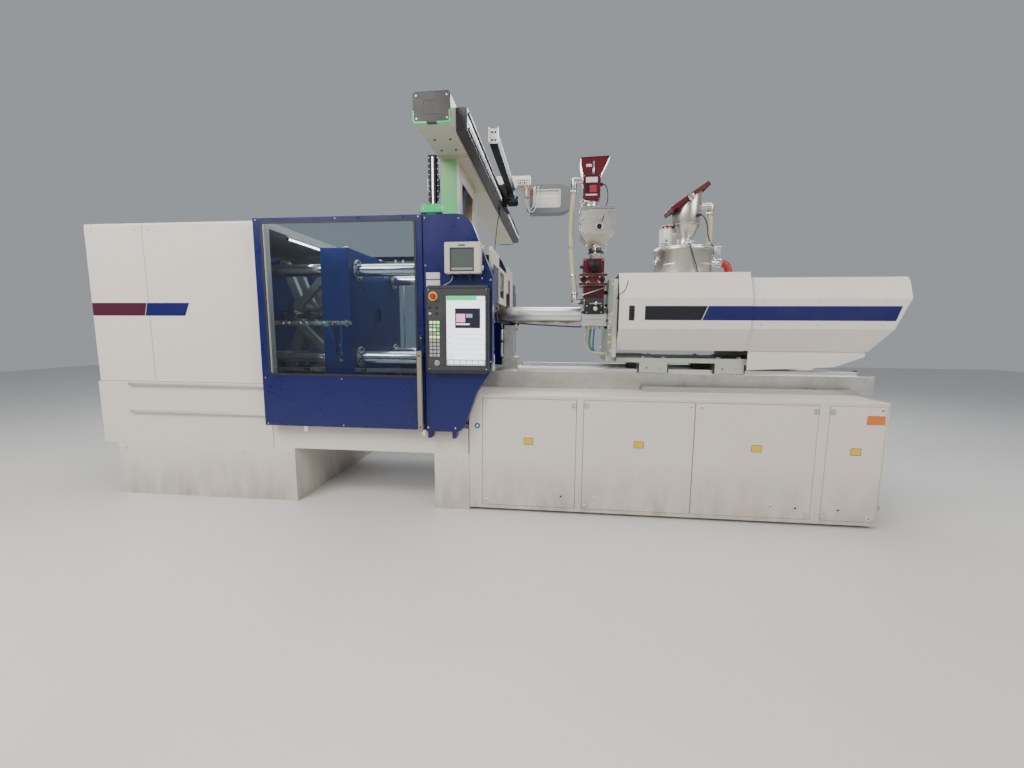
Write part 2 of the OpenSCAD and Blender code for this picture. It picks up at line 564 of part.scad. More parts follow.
// tube along a route that lies in one X-Z plane
function tang(p, i) = unit(p[min(i + 1, len(p) - 1)] - p[max(i - 1, 0)]);
module hose(p, r, n = 12) {
  m = len(p);
  pts = [for (i = [0:m - 1]) let (t = tang(p, i), u = [t[2], 0, -t[0]]) for (k = [0:n - 1]) p[i] + r * (cos(360 * k / n) * u + sin(360 * k / n) * [0, 1, 0])];
  faces = concat(
    [[for (k = [0:n - 1]) k]],
    [for (i = [0:m - 2]) for (k = [0:n - 1]) [i * n + k, (i + 1) * n + k, (i + 1) * n + (k + 1) % n, i * n + (k + 1) % n]],
    [[for (k = [0:n - 1]) (m - 1) * n + n - 1 - k]]);
  polyhedron(pts, faces, convexity = 6);
}
feed_route = [[3750, 700, 2480],[3750, 700, 2450],[3744, 700, 2380],[3737, 700, 2290],[3734, 700, 2190],[3735, 700, 2090],[3740, 700, 1990],[3748, 700, 1890],[3758, 700, 1800],[3769, 700, 1725],[3774, 700, 1685],[3774, 700, 1660]];
drum_route = [[4862, 760, 2300],[4862, 760, 2275],[4865, 760, 2215],[4866, 760, 2155],[4865, 760, 2095],[4862, 760, 2035],[4862, 760, 2010]];
module loader_hoses() place() color([0.75, 0.72, 0.6]) { hose(feed_route, 22); hose(drum_route, 22); }
DXC = 4662;
module drum_hopper() place() color([0.72, 0.72, 0.70]) union() {
  difference() {
    union() {
      cz(DXC, CY, 1800, 1996, drum_d / 2, 96);
      cz(DXC, CY, COVER_T, 1800, 180, 96);
      cz(DXC, CY, 1984, 1996, drum_d / 2 + 10, 96);
    }
    cz(DXC, CY, 1806, 1997, drum_d / 2 - 5, 96);
    cz(DXC, CY, COVER_T - 1, 1807, 40, 64);
  }
  cx(DXC + drum_d / 2 - 3, DXC + 300, CY, 1900, 30);
}
LX = 4672;
module drum_loader() place() color([0.74, 0.74, 0.73]) union() {
  cz(DXC, CY, 1996, 2010, drum_d / 2 + 10, 96);
  difference() {
    union() {
      cz(LX, CY, 2010, 2090, 56, 64);
      translate([LX, CY, 2085]) cylinder(h = 115, r1 = 50, r2 = 110, $fn = 96);
      difference() {
        cz(LX, CY, 2200, 2520, 110, 96);
        translate([LX - 130, 500, 2306]) rotate([0, -35, 0]) cube([400, 520, 300]);
      }
    }
    difference() {
      cz(LX, CY, 2205, 2530, 105, 96);
      translate([LX - 130, 500, 2406]) rotate([0, -35, 0]) cube([400, 520, 300]);
    }
    translate([LX, CY, 2096]) cylinder(h = 110, r1 = 48, r2 = 105, $fn = 96);
    cz(LX, CY, 2005, 2097, 40, 64);
  }
  // filter pod on a side pipe
  cz(LX - 150, CY, 2050, 2180, 42, 48);
  cx(LX - 110, LX - 70, CY, 2130, 14, 32);
  cx(LX + 103, LX + 190, CY, 2352, 26, 48);
  translate([LX + 190, CY, 2352]) sphere(r = 26, $fn = 48);
  cz(LX + 190, CY, 2300, 2352, 26, 48);
}
module loader_lid() place() color(wine) translate([LX - 130, CY, 2308]) rotate([0, -35, 0]) union() {
  translate([-14, -125, 0]) cube([340, 250, 22]);
}

/* ---------- robot ---------- */
module robot_post() place() color([0.62, 0.60, 0.50]) difference() {
  union() {
    b(2695, 2825, 470, 1290, 1988, beam_z);
    b(2664, 2926, 440, 1296, 1970, 1988);
    b(2680, 2912, 470, 1290, beam_z - 14, beam_z);
  }
  b(2703, 2817, 478, 1282, 1990, beam_z - 20);
  b(2690, 2830, 640, 1120, 2120, 2560);
}
module robot_beam() place() color([0.74, 0.70, 0.58]) {
  BT = beam_z + 180;
  // four plates of the box section
  for (z = [beam_z, BT - 10]) b(2677, 2916, -90, beam_l - 140, z, z + 10);
  for (x = [2677, 2906]) b(x, x + 10, -90, beam_l - 140, beam_z + 10.2, BT - 10.2);
  for (y = [-115, beam_l - 139.8]) xz(rr(2672, 2921, beam_z - 4, BT + 4, 22), y, y + 24.8);
  // drive side housing and its two guide rails
  b(2916, 2996, 60, beam_l - 170, beam_z + 14, beam_z + 166);
  for (z = [beam_z + 30, beam_z + 130]) b(2996, 3006, 100, beam_l - 200, z, z + 20);
}
CYR = 1850;
module robot_carriage() place() color(dark) {
  difference() {
    b(3008, 3060, CYR, CYR + 300, beam_z - 6, beam_z + 240);
    b(3007, 3024, CYR - 1, CYR + 301, beam_z + 60, beam_z + 120);
  }
  b(2690, 3008, CYR + 20, CYR + 280, beam_z + 186, beam_z + 238);
  // cable tray
  b(3064, 3130, CYR - 1230, CYR + 200, beam_z + 140, beam_z + 220);
  b(3060, 3064, CYR + 60, CYR + 200, beam_z + 140, beam_z + 220);
}
module robot_kick() place() color([0.8, 0.8, 0.8]) {
  b(2120, 3300, CYR + 160, CYR + 260, beam_z + 242, beam_z + 372);
  b(2140, 2280, CYR + 152, CYR + 160, beam_z + 242, beam_z + 372);
  difference() {
    xz(concat([[3300, beam_z + 270],[3300, beam_z - 40]], [for (i = [0:12]) [3635 + 150 * sin(15 * i), beam_z + 115 - 155 * cos(15 * i)]]), CYR + 140, CYR + 280);
    xz(rr(3340, 3640, beam_z + 20, beam_z + 210, 20), CYR + 139, CYR + 160);
  }
}
module robot_arm() place() color([0.3, 0.31, 0.32]) difference() {
  b(2150, 2270, CYR + 90, CYR + 151, beam_z + 60, beam_z + 600);
  b(2175, 2245, CYR + 89, CYR + 110, beam_z + 59, beam_z + 601);
}
module robot_arm_inner() place() color([0.5, 0.5, 0.5]) {
  b(2178, 2242, CYR + 60, CYR + 108, beam_z + 30, beam_z + 580);
  b(2160, 2260, CYR + 40, CYR + 128, beam_z + 6, beam_z + 30);
}
module robot_wrist() place() color(steel) difference() {
  union() {
    cz(2210, CYR + 84, beam_z - 40, beam_z + 5, 38);
    cz(2210, CYR + 84, beam_z - 52, beam_z - 40, 50);
  }
  for (a = [45:90:315]) cz(2210 + 31.5 * cos(a), CYR + 84 + 31.5 * sin(a), beam_z - 53, beam_z - 39, 4, 24);
}

clamp_frame();
lower_cover();
clamp_cover();
door_rails();
safety_door();
door_glass();
door_handle();
hmi_cover();
control_panel();
touch_screen();
e_stop();
key_switch();
aux_display();
signal_lamp();
rear_door();
rear_glass();
rear_fixed_cover();
end_guard();
purge_guard();
fixed_platen();
moving_platen();
end_platen();
tie_bars();
crosshead();
clamp_screw();
rear_link_upper();
rear_link_lower();
front_link_upper();
front_link_lower();
ejector();
base_frame();
base_door_1();
base_door_2();
base_door_3();
base_door_4();
injection_bed();
injection_rails();
injection_carriage();
barrel();
plasticizing_screw();
barrel_guard();
sliding_cover();
rear_cover();
drive_plate();
feed_hopper();
hopper_loader();
loader_head();
feed_doser();
slide_gate();
loader_hoses();
drum_hopper();
drum_loader();
loader_lid();
robot_post();
robot_beam();
robot_carriage();
robot_kick();
robot_arm();
robot_arm_inner();
robot_wrist();
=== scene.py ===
import bpy, bmesh, math
from mathutils import Vector, Matrix


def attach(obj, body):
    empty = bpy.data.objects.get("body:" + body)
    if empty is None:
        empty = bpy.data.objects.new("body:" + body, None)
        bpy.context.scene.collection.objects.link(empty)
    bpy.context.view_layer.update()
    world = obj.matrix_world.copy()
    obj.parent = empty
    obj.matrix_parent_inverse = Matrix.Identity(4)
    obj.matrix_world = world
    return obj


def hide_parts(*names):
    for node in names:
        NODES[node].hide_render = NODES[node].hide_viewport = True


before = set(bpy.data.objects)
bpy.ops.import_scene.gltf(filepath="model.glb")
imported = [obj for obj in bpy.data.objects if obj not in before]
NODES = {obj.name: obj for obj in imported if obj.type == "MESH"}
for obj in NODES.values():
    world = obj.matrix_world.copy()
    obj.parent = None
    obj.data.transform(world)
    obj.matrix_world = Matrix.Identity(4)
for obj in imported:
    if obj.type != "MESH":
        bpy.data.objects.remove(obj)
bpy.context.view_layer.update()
OX, CY, W = 2876.0, 760.0, 1520.0


def P(x, y, z):
    """A point in machine millimetres, as part.scad writes it, in the row frame in metres."""
    return Vector(((x - OX) / 1000.0, (y - CY) / 1000.0, z / 1000.0))


# ------------------------------------------------------------------ camera
def make_camera():
    yaw, pitch, roll = math.radians(-6.02), math.radians(-7.10), math.radians(0.36)
    fwd = Vector((math.sin(yaw) * math.cos(pitch), math.cos(yaw) * math.cos(pitch), math.sin(pitch)))
    right = Vector((math.cos(yaw), -math.sin(yaw), 0))
    up = right.cross(fwd)
    r2 = math.cos(roll) * right + math.sin(roll) * up
    u2 = -math.sin(roll) * right + math.cos(roll) * up
    m = Matrix(((r2.x, u2.x, -fwd.x, 0.767), (r2.y, u2.y, -fwd.y, -3.798), (r2.z, u2.z, -fwd.z, 1.338), (0, 0, 0, 1)))
    data = bpy.data.cameras.new("camera")
    data.sensor_fit = "HORIZONTAL"
    data.sensor_width = 36.0
    data.lens = 429.2 * 36.0 / 1024.0
    data.clip_start, data.clip_end = 0.05, 200
    cam = bpy.data.objects.new("camera", data)
    bpy.context.scene.collection.objects.link(cam)
    cam.matrix_world = m
    bpy.context.scene.camera = cam


make_camera()


# ------------------------------------------------------------------ materials
class Mat:
    """Small helper for node materials. Object coordinates are the row frame, in metres."""

    def __init__(self, name):
        self.m = bpy.data.materials.new(name)
        self.m.use_nodes = True
        self.t = self.m.node_tree
        self.t.nodes.clear()
        self.out = self.t.nodes.new("ShaderNodeOutputMaterial")
        self.b = self.t.nodes.new("ShaderNodeBsdfPrincipled")
        self.t.links.new(self.b.outputs[0], self.out.inputs[0])
        self.co = self.t.nodes.new("ShaderNodeTexCoord").outputs["Object"]

    def set(self, **k):
        for a, v in k.items():
            s = self.b.inputs[a.replace("_", " ")]
            s.default_value = (*v, 1.0) if isinstance(v, tuple) and len(v) == 3 else v
        return self

    def map(self, scale):
        n = self.t.nodes.new("ShaderNodeMapping")
        n.inputs["Scale"].default_value = scale if isinstance(scale, tuple) else (scale,) * 3
        self.t.links.new(self.co, n.inputs["Vector"])
        return n.outputs[0]

    def noise(self, scale, detail=3.0, rough=0.55, dist=0.0):
        n = self.t.nodes.new("ShaderNodeTexNoise")
        n.inputs["Scale"].default_value = 1.0
        n.inputs["Detail"].default_value = detail
        n.inputs["Roughness"].default_value = rough
        n.inputs["Distortion"].default_value = dist
        self.t.links.new(self.map(scale), n.inputs["Vector"])
        return n.outputs["Fac"]

    def ramp(self, fac, stops):
        n = self.t.nodes.new("ShaderNodeValToRGB")
        e = n.color_ramp.elements
        while len(e) < len(stops):
            e.new(0.5)
        for i, (p, c) in enumerate(stops):
            e[i].position = p
            e[i].color = (*c, 1.0) if isinstance(c, tuple) else (c, c, c, 1.0)
        self.t.links.new(fac, n.inputs[0])
        return n.outputs[0]

    def mix(self, fac, a, b, kind="MIX"):
        n = self.t.nodes.new("ShaderNodeMix")
        n.data_type = "RGBA"
        n.blend_type = kind
        for i, v in ((0, fac), (6, a), (7, b)):
            if hasattr(v, "is_output"):
                self.t.links.new(v, n.inputs[i])
            elif i == 0:
                n.inputs[0].default_value = v
            else:
                n.inputs[i].default_value = (*v, 1.0)
        return n.outputs[2]

    def math(self, op, a, b=0.0):
        n = self.t.nodes.new("ShaderNodeMath")
        n.operation = op
        for i, v in ((0, a), (1, b)):
            if hasattr(v, "is_output"):
                self.t.links.new(v, n.inputs[i])
            else:
                n.inputs[i].default_value = v
        return n.outputs[0]

    def axis(self, i):
        n = self.t.nodes.new("ShaderNodeSeparateXYZ")
        self.t.links.new(self.co, n.inputs[0])
        return n.outputs[i]

    def grade(self, v, a, b):
        """0 at a, 1 at b."""
        n = self.t.nodes.new("ShaderNodeMapRange")
        n.inputs["From Min"].default_value = a
        n.inputs["From Max"].default_value = b
        self.t.links.new(v, n.inputs["Value"])
        return n.outputs[0]

    def bump(self, height, strength, dist=0.001):
        n = self.t.nodes.new("ShaderNodeBump")
        n.inputs["Strength"].default_value = strength
        n.inputs["Distance"].default_value = dist
        self.t.links.new(height, n.inputs["Height"])
        self.t.links.new(n.outputs[0], self.b.inputs["Normal"])
        return self

    def to(self, name, v):
        self.t.links.new(v, self.b.inputs[name])
        return self


def shade(c, k):
    return tuple(min(1.0, x * k) for x in c)


def paint(name, c, rough=0.42, coat=0.0, peel=520.0, bump=0.05, vary=0.05, low_band=None, low_colour=None, grain=None):
    """Powder coat or enamel: slight cloudiness, orange peel, uneven gloss, and patchy darkening towards the floor."""
    m = Mat(name)
    cloud = m.noise(1.7, 4.0)
    col = m.mix(cloud, shade(c, 1 - vary), shade(c, 1 + vary))
    spots = m.ramp(m.noise(34.0, 6.0, 0.7), [(0.60, 0.0), (0.78, 1.0)])
    col = m.mix(m.math("MULTIPLY", spots, 0.16), col, shade(c, 0.62))
    # patchy darkening towards the floor, fading out between the two given heights in metres
    if low_band:
        low = m.math("SUBTRACT", 1.0, m.grade(m.axis(2), low_band[0], low_band[1]))
        low = m.math("MULTIPLY", m.math("MAXIMUM", low, 0.0), m.ramp(m.noise((9.0, 9.0, 3.0), 6.0, 0.65), [(0.30, 0.15), (0.72, 1.0)]))
        col = m.mix(m.math("MULTIPLY", low, 0.75), col, low_colour or shade(c, 0.35))
    m.to("Base Color", col)
    m.set(Coat_Weight=coat, Coat_Roughness=0.08, IOR=1.5)
    r = m.ramp(m.noise(6.0, 5.0, 0.6), [(0.25, max(0.02, rough - 0.07)), (0.8, min(1.0, rough + 0.10))])
    m.to("Roughness", r)
    fine = m.noise(peel, 2.0, 0.5)
    m.bump(fine, bump, 0.0006)
    return m.m


def metal(name, c, rough=0.25, stretch=(1, 1, 1), scale=240.0, bump=0.06, vary=0.08, tint=None, tint_amount=0.0, dark=0.0):
    """Ground, brushed or polished metal with fine lines along one axis and handling marks."""
    m = Mat(name)
    lines = m.noise(tuple(scale * s for s in stretch), 4.0, 0.6)
    col = m.mix(lines, shade(c, 1 - vary), shade(c, 1 + vary))
    if tint is not None:
        col = m.mix(m.math("MULTIPLY", m.ramp(m.noise(4.5, 5.0, 0.6, 0.6), [(0.35, 0.0), (0.75, 1.0)]), tint_amount), col, tint)
    if dark:
        col = m.mix(m.math("MULTIPLY", m.ramp(m.noise(11.0, 6.0, 0.7), [(0.5, 0.0), (0.8, 1.0)]), dark), col, shade(c, 0.3))
    m.to("Base Color", col)
    m.set(Metallic=1.0)
    m.to("Roughness", m.ramp(m.noise(13.0, 5.0, 0.65), [(0.2, max(0.03, rough - 0.06)), (0.85, rough + 0.14)]))
    m.bump(lines, bump, 0.0004)
    return m.m


def plastic(name, c, rough=0.5, tex=900.0, bump=0.12, vary=0.06, coat=0.0):
    """Moulded plastic: fine spark-eroded texture and slightly uneven gloss."""
    m = Mat(name)
    col = m.mix(m.noise(3.0, 4.0), shade(c, 1 - vary), shade(c, 1 + vary))
    scuff = m.ramp(m.noise((60.0, 60.0, 12.0), 6.0, 0.7), [(0.62, 0.0), (0.8, 1.0)])
    col = m.mix(m.math("MULTIPLY", scuff, 0.2), col, shade(c, 1.35))
    m.to("Base Color", col)
    m.set(Coat_Weight=coat, Coat_Roughness=0.05)
    m.to("Roughness", m.ramp(m.noise(9.0, 5.0), [(0.25, max(0.03, rough - 0.08)), (0.8, rough + 0.08)]))
    m.bump(m.noise(tex, 2.0, 0.5), bump, 0.0004)
    return m.m


def rubber(name, c, rough=0.6, ring=None):
    """Rubber or hose plastic; ring is the pitch in metres of the wire spiral that shows through."""
    m = Mat(name)
    col = m.mix(m.noise(7.0, 5.0), shade(c, 0.86), shade(c, 1.10))
    m.set(Subsurface_Weight=0.0)
    if ring:
        w = m.t.nodes.new("ShaderNodeTexWave")
        w.wave_type, w.bands_direction = "BANDS", "Z"
        w.inputs["Scale"].default_value = 1.0
        w.inputs["Distortion"].default_value = 0.0
        m.t.links.new(m.map((1.0, 1.0, 0.314 / ring)), w.inputs["Vector"])
        col = m.mix(m.math("MULTIPLY", w.outputs["Fac"], 0.25), col, shade(c, 0.62))
    m.to("Base Color", col)
    m.to("Roughness", m.ramp(m.noise(15.0, 5.0), [(0.25, rough - 0.1), (0.8, rough + 0.12)]))
    m.bump(m.noise(300.0, 3.0), 0.15, 0.0005)
    return m.m


def glow(name, c, strength, base=None, fade=None):
    """A lit lens or display. fade = (axis, from, to) dims it along one axis."""
    m = Mat(name)
    col = m.mix(m.noise(18.0, 3.0), shade(c, 0.85), c)
    m.to("Base Color", m.mix(m.noise(40.0, 2.0), shade(base or c, 0.9), base or c))
    m.to("Emission Color", col)
    m.set(Roughness=0.22, Coat_Weight=0.6)
    if fade:
        e = m.grade(m.axis(fade[0]), fade[1], fade[2])
        m.to("Emission Strength", m.math("MULTIPLY", m.math("POWER", e, 1.6), strength))
    else:
        m.set(Emission_Strength=strength)
    return m.m


CREAM = (0.66, 0.605, 0.54)
BLUE = (0.0022, 0.0045, 0.088)
M = {
    "cream": paint("cream_powder_coat", CREAM, 0.44, 0.05, low_band=(0.02, 0.42)),
    "hood": paint("hood_powder_coat", (0.70, 0.65, 0.59), 0.40, 0.08),
    "cover": paint("injection_cover_paint", (0.71, 0.665, 0.61), 0.34, 0.12),
    # shaded copy of the cream: painted shade, used for the shadow lines round the base doors
    "shaded_cream": paint("cream_painted_shade", (0.50, 0.46, 0.39), 0.42, 0.05),
    "blue": paint("royal_blue_paint", BLUE, 0.30, 0.06, bump=0.015, vary=0.10),
    "stripe": paint("blue_stripe_film", (0.0035, 0.0035, 0.095), 0.34, 0.04, bump=0.02),
    "maroon": paint("maroon_stripe_film", (0.062, 0.004, 0.022), 0.34, 0.04, bump=0.02),
    "casting": paint("blue_casting_enamel", (0.004, 0.020, 0.24), 0.36, 0.15, peel=210.0, bump=0.22, vary=0.16),
    "grey_cast": paint("grey_casting_enamel", (0.40, 0.42, 0.40), 0.45, 0.05, peel=190.0, bump=0.22, vary=0.10),
    "green_plate": paint("grey_green_plate", (0.42, 0.46, 0.40), 0.42, 0.05, peel=260.0, bump=0.12),
    "wine": paint("wine_red_enamel", (0.105, 0.004, 0.012), 0.22, 0.35, peel=300.0, bump=0.05, vary=0.14),
    "robot": paint("robot_beige_paint", (0.56, 0.53, 0.42), 0.38, 0.10),
    "white": paint("white_enamel", (0.80, 0.80, 0.79), 0.33, 0.15),
    "black_paint": paint("black_satin_paint", (0.022, 0.023, 0.026), 0.38, 0.1),
    "chrome": metal("polished_chrome", (0.86, 0.87, 0.88), 0.07, (0.15, 1, 1), 160.0, 0.02, 0.03),
    "rail": metal("bright_rail", (0.93, 0.93, 0.91), 0.30, (0.05, 1, 1), 300.0, 0.04, 0.05),
    "steel": metal("ground_steel", (0.60, 0.61, 0.62), 0.24, (0.06, 1, 1), 360.0, 0.08, 0.08, (0.40, 0.33, 0.24), 0.12),
    "steel_z": metal("brushed_steel_upright", (0.62, 0.62, 0.61), 0.28, (1, 1, 0.06), 360.0, 0.08, 0.08, dark=0.1),
    "stainless": metal("stainless_sheet", (0.62, 0.60, 0.54), 0.27, (1, 1, 0.08), 420.0, 0.012, 0.05, (0.45, 0.41, 0.33), 0.18),
    "guard": metal("bright_guard_sheet", (0.84, 0.84, 0.82), 0.34, (0.04, 1, 1), 260.0, 0.015, 0.04),
    "barrel": metal("heat_tinted_steel", (0.34, 0.30, 0.27), 0.34, (1, 1, 1), 130.0, 0.12, 0.12, (0.20, 0.12, 0.06), 0.5, 0.3),
    "bed": metal("machined_bed", (0.66, 0.655, 0.62), 0.40, (0.05, 1, 1), 190.0, 0.10, 0.10, (0.33, 0.31, 0.27), 0.35, 0.25),
    "anodised": metal("black_anodised", (0.030, 0.032, 0.036), 0.52, (1, 0.06, 1), 380.0, 0.05, 0.10),
    "alu": metal("aluminium_profile", (0.66, 0.67, 0.68), 0.30, (1, 0.06, 1), 380.0, 0.06, 0.06),
    "brass": metal("brass_fitting", (0.60, 0.42, 0.16), 0.25, (1, 1, 1), 200.0, 0.05),
    "bezel": plastic("dark_bezel_plastic", (0.045, 0.046, 0.050), 0.42, 1100.0, 0.15),
    "beige": plastic("beige_plastic", (0.52, 0.50, 0.44), 0.40),
    "handle": plastic("taupe_handle", (0.26, 0.225, 0.17), 0.42, 700.0, 0.10),
    "black": plastic("black_plastic", (0.016, 0.016, 0.018), 0.40),
    "key": plastic("key_cap", (0.42, 0.42, 0.41), 0.45),
    "red": plastic("stop_button_red", (0.42, 0.025, 0.012), 0.28, 400.0, 0.03, coat=0.4),
    "yellow": plastic("stop_ring_yellow", (0.72, 0.42, 0.02), 0.32, 400.0, 0.03, coat=0.2),
    "orange": plastic("orange_film", (0.62, 0.17, 0.03), 0.45, 600.0, 0.05),
    "amber": plastic("yellow_film", (0.70, 0.47, 0.03), 0.42, 600.0, 0.05),
    "plate": plastic("light_label_film", (0.62, 0.62, 0.60), 0.38, 800.0, 0.03),
    "blue_plastic": plastic("blue_plastic", (0.015, 0.09, 0.42), 0.35),
    "green_plastic": plastic("green_plastic", (0.03, 0.30, 0.14), 0.40),
    "white_plastic": plastic("white_plastic", (0.74, 0.74, 0.71), 0.36),
    "glass_dark": plastic("dark_window", (0.008, 0.009, 0.011), 0.07, 200.0, 0.0, coat=1.0),
    "gasket": rubber("window_gasket", (0.012, 0.012, 0.014), 0.55),
    "hose": rubber("cream_conveying_hose", (0.52, 0.47, 0.34), 0.45, 0.012),
    "hose_plain": rubber("cream_hose", (0.52, 0.47, 0.36), 0.45),
    "hose_green": rubber("green_hose", (0.06, 0.22, 0.13), 0.42),
    "hose_blue": rubber("blue_hose", (0.02, 0.10, 0.34), 0.42),
    "hose_red": rubber("red_hose", (0.38, 0.03, 0.02), 0.42),
    "cable": rubber("black_cable", (0.014, 0.014, 0.015), 0.5),
    "cable_grey": rubber("grey_cable", (0.28, 0.28, 0.27), 0.5),
    "label_red": plastic("label_red_field", (0.34, 0.015, 0.05), 0.40, 600.0, 0.04),
    "led": glow("green_led", (0.0, 1.0, 0.30), 0.55, (0.0, 0.18, 0.05)),
    "lamp": glow("green_lamp_lens", (0.0, 1.0, 0.30), 0.55, (0.0, 0.18, 0.05)),
    "screen": glow("display_field", (0.72, 0.86, 1.0), 1.25),
    "screen_white": glow("display_light_field", (0.90, 0.95, 1.0), 1.35),
    "screen_grey": glow("display_grey_bar", (0.30, 0.36, 0.46), 0.55),
    "screen_dark": glow("display_dark_box", (0.015, 0.015, 0.03), 0.3),
    "screen_pink": glow("display_pink", (0.85, 0.30, 0.55), 1.0),
    "screen_green": glow("display_green_bar", (0.01, 0.62, 0.20), 0.75),
    "key_lit": glow("lit_key", (0.75, 0.95, 0.45), 0.9),
    "key_green": glow("lit_key_green", (0.12, 0.80, 0.08), 0.7),
    "lcd": plastic("grey_display", (0.085, 0.10, 0.095), 0.16, 300.0, 0.0, coat=0.8),
}


def make_glass():
    m = Mat("smoked_window")
    tint = m.mix(m.noise(2.0, 3.0), (0.52, 0.62, 0.67), (0.57, 0.67, 0.72))
    m.to("Base Color", tint)
    m.set(Roughness=0.015, IOR=1.45, Transmission_Weight=1.0)
    m.bump(m.noise(3.0, 2.0), 0.02, 0.002)
    return m.m


M["glass"] = make_glass()


def make_painted_glow():
    # painted green glow on the front of the robot post: green tint and emission strongest at the bottom, fading out
    # upward; the panel is no lamp
    m = Mat("post_painted_green_glow")
    m.to("Base Color", m.mix(m.grade(m.axis(2), 2.05, 2.72), (0.0, 0.20, 0.06), m.mix(m.noise(3.0), (0.20, 0.36, 0.18), (0.24, 0.40, 0.20))))
    m.to("Emission Color", m.mix(m.noise(5.0), (0.0, 0.90, 0.22), (0.0, 1.0, 0.26)))
    e = m.math("SUBTRACT", 1.0, m.grade(m.axis(2), 2.05, 2.72))
    m.to("Emission Strength", m.math("ADD", m.math("MULTIPLY", m.math("POWER", m.math("MAXIMUM", e, 0.0), 1.3), 0.50), 0.03))
    m.set(Roughness=0.4)
    return m.m


M["painted_glow"] = make_painted_glow()


